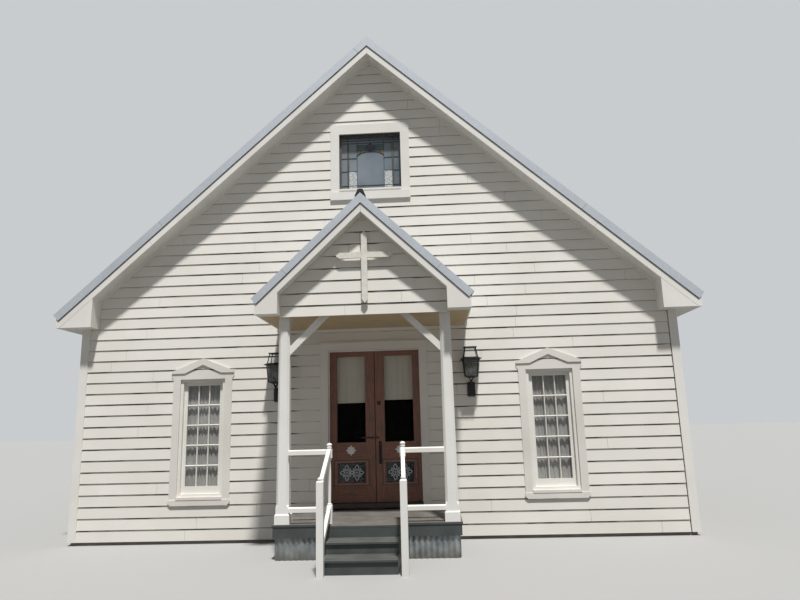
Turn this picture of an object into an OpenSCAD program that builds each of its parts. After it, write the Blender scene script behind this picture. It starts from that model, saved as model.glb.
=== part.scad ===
// Small timber chapel with a gabled front porch and a pair of glazed entrance doors.
// Millimetres. +Z is up, the front faces -Y and the building is symmetric about X = 0.
// Measures are taken from the sheathing of the front wall (Y = 0) and from the ground (Z = 0);
// at_origin() then moves every piece, so that the origin is the middle of the footprint.

/* [Building] */
// Width over the wall sheathing
building_w = 9702; // [8000:10:11700]
// Length over the wall sheathing
building_l = 12190; // [9800:10:14700]
// Thickness of the walls
wall_t = 165; // [130:5:220]
// Height of the walls' lower edge above the ground
wall_base = 51; // [40:1:120]
// Height of the roof's underside at the face of the side walls
plate_h = 3685; // [3400:5:4400]
// Height of the floor above the porch deck
floor_step = 80; // [60:1:100]
// Thickness of the floor
floor_t = 60; // [30:5:120]

/* [Main roof] */
// Slope of the main roof in degrees
roof_pitch = 42.4; // [35:0.1:48]
// Rafters and sheathing, square to the slope
roof_t = 206; // [170:1:260]
// Overhang at the gables, to the face of the rake boards
rake_overhang = 298; // [220:1:400]
// Overhang at the eaves, to the face of the fascia
eave_overhang = 336; // [280:1:450]
// Drop of the flat eave soffit below the roof's underside at the wall
soffit_drop = 252; // [210:1:300]
// Gap left where a piece bears on a slope
seat_gap = 0.4; // [0.2:0.1:1]
// Width of a cornice return, from the fascia inwards
return_w = 588; // [450:1:700]

/* [Metal roofing] */
// Thickness that the sheet is drawn with
sheet_t = 3; // [2:0.5:5]
// Height of a rib
rib_h = 20; // [12:1:30]
// Spacing of the ribs
rib_pitch = 229; // [180:1:300]
// Width of a rib at its foot
rib_foot = 60; // [40:1:70]
// Width of a rib at its top
rib_top = 26; // [15:1:35]
// Part of the rake board that shows below the rake trim, square to the slope
board_show = 106; // [80:1:150]
// Distance of the rake trim in front of the rake board
trim_proud = 13; // [8:1:25]
// Width of the rake trim's top flange
trim_flange = 100; // [70:1:140]
// Width of each ridge cap flange
cap_flange = 170; // [120:5:220]

/* [Boards] */
// Thickness of rake boards, fascias and soffits
board_t = 20; // [15:1:30]
// Thickness of flat casings and corner boards
casing_t = 30; // [20:1:35]
// Width of a corner board
corner_w = 102; // [80:1:140]
// Drop of the moulding under the soffits
bed_h = 50; // [30:1:70]
// Depth of the moulding under the soffits
bed_d = 28; // [20:1:50]

/* [Windows] */
// Width between the casings
window_w = 736; // [610:2:890]
// Height from the sill to the head casing
window_h = 1850; // [1540:5:2220]
// Height of the sill above the floor
sill_rise = 163; // [136:1:196]
// Distance of the front windows from the middle
window_x = 2798; // [2500:5:3100]
// Windows in each side wall
side_windows = 3; // [2:1:4]
// Width of a window casing
casing_w = 118; // [90:1:150]
// Height of the board below the sill
apron_h = 86; // [60:1:120]
// Visible width of the jamb and sash at the sides and the top
sash_w = 102; // [80:1:130]
// Visible height of the sash's bottom rail
sash_foot = 158; // [120:1:200]
// Width of the jamb lining
jamb_w = 45; // [30:1:60]
// Setback of the sash behind the sheathing
sash_setback = 52; // [30:1:70]
// Thickness of a sash
sash_t = 42; // [35:1:50]
// Thickness of the glass
glass_t = 6; // [4:1:8]
// Width of the attic window between its casings
attic_w = 1066; // [850:2:1300]
// Height of the attic window between its casings
attic_h = 1014; // [800:2:1200]
// Height of the attic window's sill above the top of the side walls
attic_rise = 2041; // [1900:1:2200]
// Width of the attic window's casing
attic_casing_w = 151; // [110:1:180]

/* [Entrance] */
// Width of the doorway between the jambs
door_w = 1487; // [1300:1:1700]
// Height of the doorway above the threshold
door_h = 2399; // [2150:1:2450]
// Gap round a door leaf
door_gap = 5; // [5:0.5:8]
// Gap between the two leaves
meeting_gap = 10; // [10:0.5:12]
// Thickness of a door leaf
leaf_t = 45; // [38:1:55]
// Width of the outer stile
stile_w = 113; // [90:1:136]
// Width of the meeting stile
meeting_stile_w = 142; // [118:1:170]
// Height of the top rail
top_rail_h = 78; // [65:1:94]
// Height of the large glass
upper_glass_h = 1395; // [1160:5:1450]
// Height of the lock rail
lock_rail_h = 286; // [240:1:320]
// Height of the small glazed panel
small_panel_h = 351; // [292:1:390]
// Width of the moulding round the small glass and the wood panel
panel_mould_w = 19; // [15:1:24]
// Height that a panel moulding stands proud of the leaf
panel_mould_t = 7; // [5:1:10]
// Height of the rail below the small glazed panel
mid_rail_h = 44; // [36:1:60]
// Height of the bottom rail
bottom_rail_h = 112; // [92:1:136]
// Length of the left roller shade's cloth below the large glass's top
left_shade_drop = 760; // [630:5:920]
// Length of the right roller shade's cloth below the large glass's top
right_shade_drop = 725; // [600:5:880]
// Thickness of the jambs
door_jamb_t = 30; // [25:1:40]
// Width of the door casing
door_casing_w = 122; // [100:1:150]
// Height of the head casing over the doors
door_head_h = 100; // [80:1:140]

/* [Porch] */
// Height of the porch deck above the ground
deck_h = 459; // [400:1:520]
// Distance of the deck's front edge from the wall
deck_d = 1400; // [1250:5:1650]
// Width of the deck
deck_w = 2560; // [2300:10:3000]
// Thickness of the deck boards
deck_t = 32; // [25:1:40]
// Height of the rim board under the deck boards
rim_h = 140; // [120:1:190]
// Height of the porch ceiling above the deck
porch_room_h = 2842; // [2750:1:3100]
// Thickness of the ceiling boards
ceiling_t = 12; // [10:1:20]
// Distance of the porch gable's sheathing from the wall
porch_gable_d = 1413; // [1300:5:1650]
// Thickness of the porch gable over the posts
porch_gable_t = 100; // [80:5:140]
// Half width of the porch gable between the returns
porch_gable_half = 1189; // [1050:5:1300]
// Half width of the porch roof to the face of its fascias
porch_half = 1518; // [1400:1:1700]
// Slope of the porch roof in degrees
porch_pitch = 43.9; // [36:0.1:48]
// Rafters and sheathing of the porch roof, square to the slope
porch_roof_t = 174; // [140:1:200]
// Overhang of the porch roof in front of its gable
porch_overhang = 203; // [150:1:280]
// Part of the porch rake board that shows below its trim
porch_board_show = 96; // [70:1:120]
// Width of a post at its foot
post_w = 176; // [150:1:200]
// Width of a post's shaft at its top
post_top_w = 152; // [130:1:176]
// Distance of a post's middle from the middle of the porch
post_x = 1150; // [1000:5:1250]
// Distance of the posts' middle from the wall
post_d = 1270; // [1150:5:1500]
// Width of the plinth round a post
plinth_w = 204; // [180:1:240]
// Height of the plinth
plinth_h = 133; // [100:1:180]
// Height of the square block at a post's top
post_block_h = 133; // [90:1:200]
// Length over which a post turns from square to chamfered
post_turn = 45; // [30:1:80]
// Chamfer of a post's edges
post_chamfer = 30; // [15:1:40]
// Thickness of a knee brace
brace_t = 90; // [60:1:110]

/* [Steps and rails] */
// Width of the steps
step_w = 930; // [780:10:1000]
// Distance that the top step stands in front of the deck
top_step = 160; // [130:5:220]
// Going of a step
going = 352; // [290:2:400]
// Number of risers
risers = 3; // [3:1:4]
// Part by which the lowest riser is taller than the others
first_extra = 30; // [0:1:40]
// Overhang of a lower tread in front of its riser
nosing = 25; // [15:1:35]
// Width of a newel at the deck
newel_w = 76; // [64:1:90]
// Thickness of a newel's turned part
newel_turn_d = 46; // [38:1:54]
// Outer face of the newels at the deck, from the middle
newel_x = 542; // [510:1:620]
// Height of a newel's cap above the top rail
newel_cap_h = 84; // [70:1:110]
// Width of a newel at the ground
ground_newel_w = 84; // [70:1:100]
// Outer face of the ground newels, from the middle between the two
ground_newel_x = 547; // [510:1:620]
// Distance that the ground newels' middle stands to the right of the building's middle
foot_shift = 47; // [0:1:60]
// Height of a ground newel without its cap
ground_newel_h = 1095; // [920:1:1200]
// Gap between the lowest tread and the ground newels
ground_newel_gap = 2; // [1:1:60]
// Height of the top rail's upper face above the deck
rail_h = 972; // [860:1:1050]
// Height of a rail's section
rail_section = 68; // [50:1:80]
// Width of a rail's section
rail_w = 60; // [44:1:70]
// Height of the lower rail's upper face above the deck
low_rail_h = 218; // [150:1:260]

/* [Lanterns] */
// Distance of a lantern from the middle
lantern_x = 1555; // [1500:5:1900]
// Height of a lantern's top above the deck
lantern_rise = 2458; // [2050:1:2800]
// Width of a lantern's rim
lantern_w = 317; // [264:1:380]
// Gap between a lantern's rim and the wall
lantern_gap = 30; // [25:1:60]
// Width of a lantern's top plate
lantern_top_w = 205; // [170:1:246]
// Height of the open gallery under the top plate
gallery_h = 150; // [125:1:180]
// Width of a lantern's glass at its top
lantern_glass_w = 236; // [196:1:270]
// Width of a lantern's glass at its foot
lantern_foot_w = 188; // [156:1:225]
// Height of a lantern's glass
lantern_glass_h = 262; // [218:1:314]
// Thickness of a lantern's wall plate
lantern_plate_t = 48; // [40:1:60]

/* [Hidden] */
$fn = 48;

white = "#ECEAE4";
trim_white = "#F2F0EA";
steel = "#C9CED3";
deck_grey = "#4A504E";
door_brown = "#5E3528";
iron = "#1B1B1B";
glass_tint = "#7F8B93";

half_w = building_w / 2;
floor_h = deck_h + floor_step;
ceiling_h = deck_h + porch_room_h;
eave_soffit_h = plate_h - soffit_drop;
window_sill_h = floor_h + sill_rise;
attic_sill_h = plate_h + attic_rise;
lantern_top = deck_h + lantern_rise;
apex_h = plate_h + half_w * tan(roof_pitch);
fascia_x = half_w + eave_overhang;
// Height at which pieces bear on the main roof's underside, at a distance from the middle
function under_h(x) = apex_h - seat_gap - abs(x) * tan(roof_pitch);
sheet_top = roof_t + seat_gap + sheet_t + rib_h;
trim_top = sheet_top + seat_gap + sheet_t;
cap_top = trim_top + seat_gap + sheet_t;
main_run = (fascia_x - 35 - board_show * sin(roof_pitch)) / cos(roof_pitch);

porch_apex_h = ceiling_h + (porch_half - 13) * tan(porch_pitch);
function porch_under_h(x) = porch_apex_h - seat_gap - abs(x) * tan(porch_pitch);
porch_front = porch_gable_d + porch_overhang;
porch_sheet_top = porch_roof_t + seat_gap + sheet_t + rib_h;
porch_trim_top = porch_sheet_top + seat_gap + sheet_t;
porch_cap_top = porch_trim_top + seat_gap + sheet_t;
porch_run = (porch_half - 26 - porch_board_show * sin(porch_pitch)) / cos(porch_pitch);

threshold_h = floor_h + 10;
head_h = threshold_h + door_h;
door_split_h = head_h + door_jamb_t + 20;
rough_half = door_w / 2 + door_jamb_t;
// The rails and panels of a leaf keep their parts of its height
door_share = (door_h - 2 * door_gap - 1) / 2388;
stair_front = deck_d + top_step + (risers - 1) * going;
riser_h = (deck_h - first_extra) / risers;

y_low = -stair_front - ground_newel_gap - ground_newel_w;
y_high = building_l + rake_overhang + trim_proud;
y_shift = -(y_low + y_high) / 2;

module at_origin() {
    translate([0, y_shift, 0]) children();
}

// A flat outline in X and Z, made solid from one Y to another
module across(y0, y1) {
    translate([0, y1, 0]) rotate([90, 0, 0]) linear_extrude(y1 - y0) children();
}

// A flat outline in Y and Z, made solid from one X to another
module along(x0, x1) {
    translate([x0, 0, 0]) rotate([90, 0, 90]) linear_extrude(x1 - x0) children();
}

module both_sides() {
    children();
    mirror([1, 0, 0]) children();
}

// A V outline between two distances above a roof's underside, cut square at the eaves
module chevron(apex, angle, p0, p1, run) {
    polygon([
        [0, apex + p0 / cos(angle)],
        [run * cos(angle) + p0 * sin(angle), apex - run * sin(angle) + p0 * cos(angle)],
        [run * cos(angle) + p1 * sin(angle), apex - run * sin(angle) + p1 * cos(angle)],
        [0, apex + p1 / cos(angle)],
        [-run * cos(angle) - p1 * sin(angle), apex - run * sin(angle) + p1 * cos(angle)],
        [-run * cos(angle) - p0 * sin(angle), apex - run * sin(angle) + p0 * cos(angle)]
    ]);
}

// Outline of one slope from the ridge to a plumb face at x1, flat underneath at soffit height
module slope_outline(apex, angle, t, x1, soffit) {
    x_flat = (apex - soffit) / tan(angle);
    polygon([
        [0, apex],
        [min(x_flat, x1), max(soffit, apex - x1 * tan(angle))],
        [x1, max(soffit, apex - x1 * tan(angle))],
        [x1, apex + t / cos(angle) - x1 * tan(angle)],
        [0, apex + t / cos(angle)]
    ]);
}

// Outer walls

module window_hole(x, y0, y1) {
    translate([x - window_w / 2, y0, window_sill_h - 42])
        cube([window_w, y1 - y0, window_h + 42]);
}

side_step = (building_l - 2 * wall_t) / side_windows;
function side_y(i) = wall_t + (i + 0.5) * side_step;

// Moves a piece made for the front wall at X = 0 to each window of the building
module at_each_window() {
    for (x = [-window_x, window_x]) translate([x, 0, 0]) children();
    for (x = [-window_x, window_x]) translate([x, building_l, 0]) rotate([0, 0, 180]) children();
    for (i = [0 : side_windows - 1]) {
        translate([half_w, side_y(i), 0]) rotate([0, 0, 90]) children();
        translate([-half_w, side_y(i), 0]) rotate([0, 0, -90]) children();
    }
}

module foundation() {
    ledge_out = 12;
    stem = 300;
    color("#8F8B84") at_origin() difference() {
        union() {
            translate([-half_w + ledge_out, ledge_out, 0])
                cube([building_w - 2 * ledge_out, building_l - 2 * ledge_out, wall_base]);
            translate([-half_w + wall_t, wall_t, 0])
                cube([building_w - 2 * wall_t, building_l - 2 * wall_t, floor_h - floor_t]);
        }
        translate([-half_w + stem, stem, -1])
            cube([building_w - 2 * stem, building_l - 2 * stem, floor_h]);
    }
}

module floor() {
    color("#9A7B57") at_origin()
        translate([-half_w + wall_t, wall_t, floor_h - floor_t])
            cube([building_w - 2 * wall_t, building_l - 2 * wall_t, floor_t]);
}

module front_wall_side() {
    difference() {
        translate([rough_half, 0, wall_base])
            cube([half_w - rough_half, wall_t, door_split_h - wall_base]);
        window_hole(window_x, -1, wall_t + 1);
    }
}

module front_wall_right() {
    color(white) at_origin() front_wall_side();
}

module front_wall_left() {
    color(white) at_origin() mirror([1, 0, 0]) front_wall_side();
}

module front_gable() {
    color(white) at_origin() difference() {
        across(0, wall_t) polygon([
            [-half_w, door_split_h], [half_w, door_split_h], [half_w, under_h(half_w)],
            [0, under_h(0)], [-half_w, under_h(half_w)]
        ]);
        translate([-attic_w / 2, -1, attic_sill_h]) cube([attic_w, wall_t + 2, attic_h]);
    }
}

module side_wall() {
    difference() {
        across(wall_t, building_l - wall_t) polygon([
            [half_w - wall_t, wall_base], [half_w, wall_base], [half_w, under_h(half_w)],
            [half_w - wall_t, under_h(half_w - wall_t)]
        ]);
        for (i = [0 : side_windows - 1])
            translate([half_w, side_y(i), 0]) rotate([0, 0, 90])
                window_hole(0, -1, wall_t + 1);
    }
}

module right_wall() {
    color(white) at_origin() side_wall();
}

module left_wall() {
    color(white) at_origin() mirror([1, 0, 0]) side_wall();
}

module back_wall() {
    color(white) at_origin() difference() {
        across(building_l - wall_t, building_l) polygon([
            [-half_w, wall_base], [half_w, wall_base], [half_w, under_h(half_w)],
            [0, under_h(0)], [-half_w, under_h(half_w)]
        ]);
        for (x = [-window_x, window_x])
            window_hole(x, building_l - wall_t - 1, building_l + 1);
    }
}

// Main roof

module roof_slope() {
    across(-rake_overhang + board_t, building_l + rake_overhang - board_t)
        slope_outline(apex_h, roof_pitch, roof_t, fascia_x - board_t, eave_soffit_h + board_t);
}

module roof_deck_right() {
    color(white) at_origin() roof_slope();
}

module roof_deck_left() {
    color(white) at_origin() mirror([1, 0, 0]) roof_slope();
}

// Ribbed sheet over one slope, between two Y and down a run from near the ridge
module ribbed_sheet(apex, angle, t, run, y0, y1) {
    low = t + seat_gap;
    pan = low + sheet_t;
    margin = trim_flange - trim_proud + 8.5;
    count = round((y1 - y0 - 2 * margin) / rib_pitch);
    spacing = (y1 - y0 - 2 * margin) / count;
    start = -t * tan(angle) + 30;
    upper = [for (i = [0 : count]) each [
        [y0 + margin + i * spacing - rib_foot / 2, pan],
        [y0 + margin + i * spacing - rib_top / 2, pan + rib_h],
        [y0 + margin + i * spacing + rib_top / 2, pan + rib_h],
        [y0 + margin + i * spacing + rib_foot / 2, pan]
    ]];
    translate([0, 0, apex]) rotate([0, angle, 0]) translate([start, 0, 0])
        rotate([90, 0, 90]) linear_extrude(run - start)
            polygon(concat([[y1, pan], [y1, low], [y0, low], [y0, pan]], upper));
}

module roof_metal() {
    color(steel) at_origin() both_sides()
        ribbed_sheet(apex_h, roof_pitch, roof_t, main_run, -rake_overhang,
            building_l + rake_overhang);
}

module ridge_caps() {
    color(steel) at_origin() {
        across(-rake_overhang - trim_proud, building_l + rake_overhang + trim_proud)
            chevron(apex_h, roof_pitch, cap_top - sheet_t, cap_top,
                cap_flange - trim_top * tan(roof_pitch));
        across(-porch_front - trim_proud, 0)
            chevron(porch_apex_h, porch_pitch, porch_cap_top - sheet_t, porch_cap_top,
                cap_flange - porch_trim_top * tan(porch_pitch));
    }
}

// Bent trim along a gable's edge: a face, a hem back to the board and a flange on the sheet
module rake_trim(apex, angle, show, top, run, face_y) {
    across(face_y, face_y + sheet_t) chevron(apex, angle, show, top, run);
    across(face_y, face_y + trim_proud) chevron(apex, angle, show, show + sheet_t, run);
    across(face_y, face_y + trim_flange) chevron(apex, angle, top - sheet_t, top, run);
}

module rake_trims() {
    color(steel) at_origin() {
        rake_trim(apex_h, roof_pitch, board_show, trim_top, main_run,
            -rake_overhang - trim_proud);
        translate([0, building_l, 0]) mirror([0, 1, 0])
            rake_trim(apex_h, roof_pitch, board_show, trim_top, main_run,
                -rake_overhang - trim_proud);
        rake_trim(porch_apex_h, porch_pitch, porch_board_show, porch_trim_top, porch_run,
            -porch_front - trim_proud);
    }
}

// Board along a gable's edge, from the ridge to the plumb cut where the boxed return starts
module rake_board(apex, angle, t, x0, y0) {
    thick = t / cos(angle);
    drop = x0 * tan(angle);
    across(y0, y0 + board_t) polygon([
        [0, apex], [x0, apex - drop], [x0, apex - drop + thick], [0, apex + thick],
        [-x0, apex - drop + thick], [-x0, apex - drop]
    ]);
}

return_x = fascia_x - return_w;

module rake_boards() {
    color(trim_white) at_origin() {
        rake_board(apex_h, roof_pitch, roof_t, return_x, -rake_overhang);
        rake_board(apex_h, roof_pitch, roof_t, return_x,
            building_l + rake_overhang - board_t);
        rake_board(porch_apex_h, porch_pitch, porch_roof_t, porch_gable_half, -porch_front);
    }
}

// Boxed end of the eave, turned onto the gable: a face board as high as the roof's edge,
// and behind it the box between the flat soffit and the slope. The face is at Y = 0.
module cornice_return(apex, angle, t, x0, x1, soffit, depth, flat_t) {
    low = apex - seat_gap;
    inner_x1 = x1 - board_t;
    flat_h = soffit + flat_t;
    flat_x = min((low - flat_h) / tan(angle), inner_x1);
    across(0, board_t) polygon([
        [x0, soffit], [x1, soffit], [x1, apex + t / cos(angle) - x1 * tan(angle)],
        [x0, apex + t / cos(angle) - x0 * tan(angle)]
    ]);
    across(board_t, depth) polygon([
        [x0, soffit], [inner_x1, soffit], [inner_x1, flat_h],
        [flat_x, max(flat_h, low - flat_x * tan(angle))], [x0, low - x0 * tan(angle)]
    ]);
}

module cornice_returns() {
    depth = porch_overhang + ceiling_t;
    color(trim_white) at_origin() both_sides() {
        translate([0, -rake_overhang, 0])
            cornice_return(apex_h, roof_pitch, roof_t, return_x, fascia_x, eave_soffit_h,
                rake_overhang, board_t);
        translate([0, building_l + rake_overhang, 0]) mirror([0, 1, 0])
            cornice_return(apex_h, roof_pitch, roof_t, return_x, fascia_x, eave_soffit_h,
                rake_overhang, board_t);
        translate([0, -porch_front, 0])
            cornice_return(porch_apex_h, porch_pitch, porch_roof_t, porch_gable_half,
                porch_half, ceiling_h, depth, ceiling_t);
    }
}

module eave_boxes() {
    top = apex_h + roof_t / cos(roof_pitch) - fascia_x * tan(roof_pitch);
    color(trim_white) at_origin() both_sides() {
        translate([fascia_x - board_t, -rake_overhang + board_t, eave_soffit_h])
            cube([board_t, building_l + 2 * rake_overhang - 2 * board_t, top - eave_soffit_h]);
        translate([half_w, 0, eave_soffit_h])
            cube([fascia_x - half_w, building_l, board_t]);
    }
}

module gable_mouldings() {
    inner = fascia_x - return_w;
    color(trim_white) at_origin() for (y0 = [-bed_d, building_l]) across(y0, y0 + bed_d)
        polygon([
            [0, apex_h], [inner, under_h(inner)], [inner, under_h(inner) - bed_h],
            [0, apex_h - bed_h], [-inner, under_h(inner) - bed_h], [-inner, under_h(inner)]
        ]);
}

module corner_boards() {
    top = eave_soffit_h;
    color(trim_white) at_origin() both_sides() for (back = [0, 1])
        translate([0, back * building_l, 0]) mirror([0, back, 0]) difference() {
            translate([half_w - corner_w, -casing_t, wall_base])
                cube([corner_w + casing_t, corner_w + casing_t, top - wall_base]);
            translate([half_w - corner_w - 1, 0, 0])
                cube([corner_w + 1, corner_w + casing_t + 1, top + 1]);
        }
}

// Windows

module window_casing() {
    half = window_w / 2;
    out = half + casing_w;
    head = window_sill_h + window_h;
    leg_foot = window_sill_h - 42;
    across(-casing_t, 0) {
        for (s = [-1, 1]) translate([s > 0 ? half : -out, leg_foot])
            square([casing_w, head - leg_foot]);
        polygon([
            [-out, head], [out, head], [out + 34, head + 50], [out + 34, head + 96],
            [300, head + 96], [80, head + 152], [-80, head + 152], [-300, head + 96],
            [-out - 34, head + 96], [-out - 34, head + 50]
        ]);
    }
    across(-casing_t - 16, 0) polygon([
        [-out - 31, head + 96], [-300, head + 98], [0, head + 234], [300, head + 98],
        [out + 31, head + 96], [out + 31, head + 130], [0, head + 338], [-out - 31, head + 130]
    ]);
}

module window_casings() {
    color(trim_white) at_origin() at_each_window() window_casing();
}

module window_sills() {
    half = window_w / 2;
    out = half + casing_w;
    color(trim_white) at_origin() at_each_window() {
        translate([-half, -casing_t - 18, window_sill_h - 42])
            cube([window_w, casing_t + 18 + sash_setback, 42]);
        across(-casing_t - 12, 0) polygon([
            [-out - 10, window_sill_h - 42], [-out - 10, window_sill_h - 42 - apron_h / 2],
            [-out + 30, window_sill_h - 42 - apron_h], [out - 30, window_sill_h - 42 - apron_h],
            [out + 10, window_sill_h - 42 - apron_h / 2], [out + 10, window_sill_h - 42]
        ]);
    }
}

// Jamb lining and sash of one window, round one large opening
module window_frame() {
    half = window_w / 2;
    head = window_sill_h + window_h;
    difference() {
        union() {
            translate([-half, 0, window_sill_h]) cube([window_w, wall_t, window_h]);
        }
        translate([-half + jamb_w, -1, window_sill_h + jamb_w])
            cube([window_w - 2 * jamb_w, wall_t + 2, window_h - 2 * jamb_w]);
    }
    difference() {
        translate([-half + jamb_w, sash_setback, window_sill_h + jamb_w])
            cube([window_w - 2 * jamb_w, sash_t, window_h - 2 * jamb_w]);
        translate([-half + sash_w, -1, window_sill_h + sash_foot])
            cube([window_w - 2 * sash_w, wall_t + 2, window_h - sash_foot - sash_w]);
    }
}

module window_frames() {
    color(trim_white) at_origin() at_each_window() window_frame();
}

module window_glass() {
    half = window_w / 2;
    color(glass_tint, 0.5) at_origin() at_each_window()
        translate([-half + sash_w, sash_setback + sash_t / 2 - glass_t / 2,
            window_sill_h + sash_foot])
            cube([window_w - 2 * sash_w, glass_t, window_h - sash_foot - sash_w]);
}

module window_curtains() {
    half = window_w / 2;
    color("#B9BCBB") at_origin() at_each_window()
        translate([-half + jamb_w + 4, sash_setback + sash_t + 12,
            window_sill_h + jamb_w + 10])
            cube([window_w - 2 * jamb_w - 8, 40, window_h - 2 * jamb_w - 10]);
}

module attic_casing() {
    half = attic_w / 2;
    out = half + attic_casing_w;
    top = attic_sill_h + attic_h;
    color(trim_white) at_origin() {
        across(-casing_t, 0) difference() {
            translate([-out, attic_sill_h - 60])
                square([2 * out, attic_h + 60 + attic_casing_w + 25]);
            translate([-half, attic_sill_h]) square([attic_w, attic_h]);
        }
        translate([-out, -casing_t - 22, attic_sill_h - 199]) cube([2 * out, casing_t + 22, 139]);
        translate([-half, -casing_t - 10, attic_sill_h - 30]) cube([attic_w, casing_t + 10, 30]);
    }
}

module attic_frame() {
    half = attic_w / 2;
    color("#B98A5E") at_origin() across(60, wall_t) difference() {
        translate([-half, attic_sill_h]) square([attic_w, attic_h]);
        translate([-half + 30, attic_sill_h + 30]) square([attic_w - 60, attic_h - 60]);
    }
}

module attic_glass() {
    half = attic_w / 2;
    color("#7D8B90", 0.6) at_origin()
        translate([-half + 30, 95, attic_sill_h + 30]) cube([attic_w - 60, 12, attic_h - 60]);
}

// Entrance

leaf_back = wall_t - 5;
leaf_front = leaf_back - leaf_t;
leaf_foot = threshold_h + door_gap + 1;
leaf_top = head_h - door_gap;
leaf_outer = door_w / 2 - door_gap;
leaf_inner = meeting_gap / 2;
hinge_x = door_w / 2 - door_gap / 2;
hinge_y = leaf_back + 14;

module door_casing() {
    half = door_w / 2;
    out = half + door_casing_w;
    color(trim_white) at_origin() {
        across(-casing_t, 0) {
            for (s = [-1, 1]) translate([s > 0 ? half : -out, deck_h])
                square([door_casing_w, head_h - deck_h]);
            translate([-out - 10, head_h]) square([2 * out + 20, door_head_h]);
        }
        across(-casing_t - 30, 0) polygon([
            [-out - 10, head_h + door_head_h], [out + 10, head_h + door_head_h],
            [out + 42, head_h + door_head_h + 32], [-out - 42, head_h + door_head_h + 32]
        ]);
    }
}

module door_frame() {
    half = door_w / 2;
    color(trim_white) at_origin() {
        across(0, wall_t) {
            for (s = [-1, 1]) translate([s > 0 ? half : -rough_half, threshold_h - 60])
                square([door_jamb_t, head_h - threshold_h + 60 + door_jamb_t]);
            translate([-rough_half, head_h]) square([2 * rough_half, door_jamb_t + 20]);
        }
        across(leaf_front - 5 - 40, leaf_front - 5) {
            for (s = [-1, 1]) translate([s > 0 ? half - 12 : -half, threshold_h])
                square([12, door_h]);
            translate([-half, head_h - 12]) square([door_w, 12]);
        }
    }
}

module door_threshold() {
    color(deck_grey) at_origin() translate([-door_w / 2, -25, threshold_h - 60])
        cube([door_w, wall_t + 25, 60]);
}

glass_x0 = leaf_inner + meeting_stile_w;
glass_x1 = leaf_outer - stile_w;
large_top = leaf_top - top_rail_h * door_share;
large_foot = large_top - upper_glass_h * door_share;
small_top = large_foot - lock_rail_h * door_share;
small_foot = small_top - small_panel_h * door_share;
panel_top = small_foot - mid_rail_h * door_share;
panel_foot = leaf_foot + bottom_rail_h * door_share;

module leaf_opening(x0, x1, z0, z1, grow = 0) {
    translate([x0 - grow, z0 - grow]) square([x1 - x0 + 2 * grow, z1 - z0 + 2 * grow]);
}

// The right leaf, from the meeting stile outwards
module leaf() {
    m = panel_mould_w;
    proud = panel_mould_t;
    difference() {
        union() {
            translate([leaf_inner, leaf_front, leaf_foot])
                cube([leaf_outer - leaf_inner, leaf_t, leaf_top - leaf_foot]);
            across(leaf_front - proud, leaf_back + proud)
                leaf_opening(glass_x0, glass_x1, small_foot, small_top);
        }
        across(leaf_front - 20, leaf_back + 20) {
            leaf_opening(glass_x0, glass_x1, large_foot, large_top);
            leaf_opening(glass_x0 + m, glass_x1 - m, small_foot + m, small_top - m);
        }
        for (y = [leaf_front - 1, leaf_back - 12]) across(y, y + 13)
            leaf_opening(glass_x0, glass_x1, panel_foot, panel_top);
    }
    // Raised field of the wood panel and the bevelled bead round the large glass
    for (y = [leaf_front + 4, leaf_back - 13]) across(y, y + 9)
        leaf_opening(glass_x0 + 2 * m, glass_x1 - 2 * m, panel_foot + 24, panel_top - 24);
    across(leaf_front + 6, leaf_front + 6 + 10) difference() {
        leaf_opening(glass_x0, glass_x1, large_foot, large_top);
        leaf_opening(glass_x0, glass_x1, large_foot, large_top, -9);
    }
}

module right_door() {
    color(door_brown) at_origin() leaf();
}

module left_door() {
    color(door_brown) at_origin() mirror([1, 0, 0]) leaf();
}

module leaf_glass() {
    m = panel_mould_w;
    y = leaf_front + leaf_t / 2 - glass_t / 2;
    across(y, y + glass_t) {
        leaf_opening(glass_x0, glass_x1, large_foot, large_top);
        leaf_opening(glass_x0 + m, glass_x1 - m, small_foot + m, small_top - m);
    }
}

module right_door_glass() {
    color(glass_tint, 0.5) at_origin() leaf_glass();
}

module left_door_glass() {
    color(glass_tint, 0.5) at_origin() mirror([1, 0, 0]) leaf_glass();
}

// Roller shade on the leaf's inner face: brackets, roller, cloth and hem bar
module leaf_shade(drop) {
    roller_d = 32;
    side = 18;
    y = leaf_back + 22;
    z = large_top + 24;
    x0 = glass_x0 - side;
    x1 = glass_x1 + side;
    foot = large_top - drop;
    for (x = [x0 - 4, x1]) translate([x, leaf_back, z - 18]) cube([4, 40, 36]);
    translate([x0, y, z]) rotate([0, 90, 0]) cylinder(d = roller_d, h = x1 - x0);
    translate([x0 + 6, y + roller_d / 2 - 3, foot]) cube([x1 - x0 - 12, 3, z - foot]);
    translate([x0 + 6, y + roller_d / 2 - 8, foot]) cube([x1 - x0 - 12, 8, 25]);
}

module right_door_shade() {
    color("#CFC9B4") at_origin() leaf_shade(right_shade_drop);
}

module left_door_shade() {
    color("#CFC9B4") at_origin() mirror([1, 0, 0]) leaf_shade(left_shade_drop);
}

// Three butt hinges: a flap on the leaf's inner face and the knuckle that turns on the axis
module leaf_hinges() {
    for (z = [leaf_foot + 250, (leaf_foot + leaf_top) / 2, leaf_top - 250]) {
        translate([hinge_x, hinge_y, z - 50]) cylinder(r = 6, h = 100);
        for (e = [-52, 50]) translate([hinge_x, hinge_y, z + e]) cylinder(r = 4, h = 2);
        translate([hinge_x - 36, leaf_back, z - 50]) cube([30, 3, 100]);
        translate([hinge_x - 9, leaf_back, z - 50]) cube([6, hinge_y - leaf_back, 100]);
    }
}

pull_x = 76;
pull_low = floor_h + 596;
pull_h = 356;
latch_z = floor_h + 1008;
keeper_z = floor_h + 1554;

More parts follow.
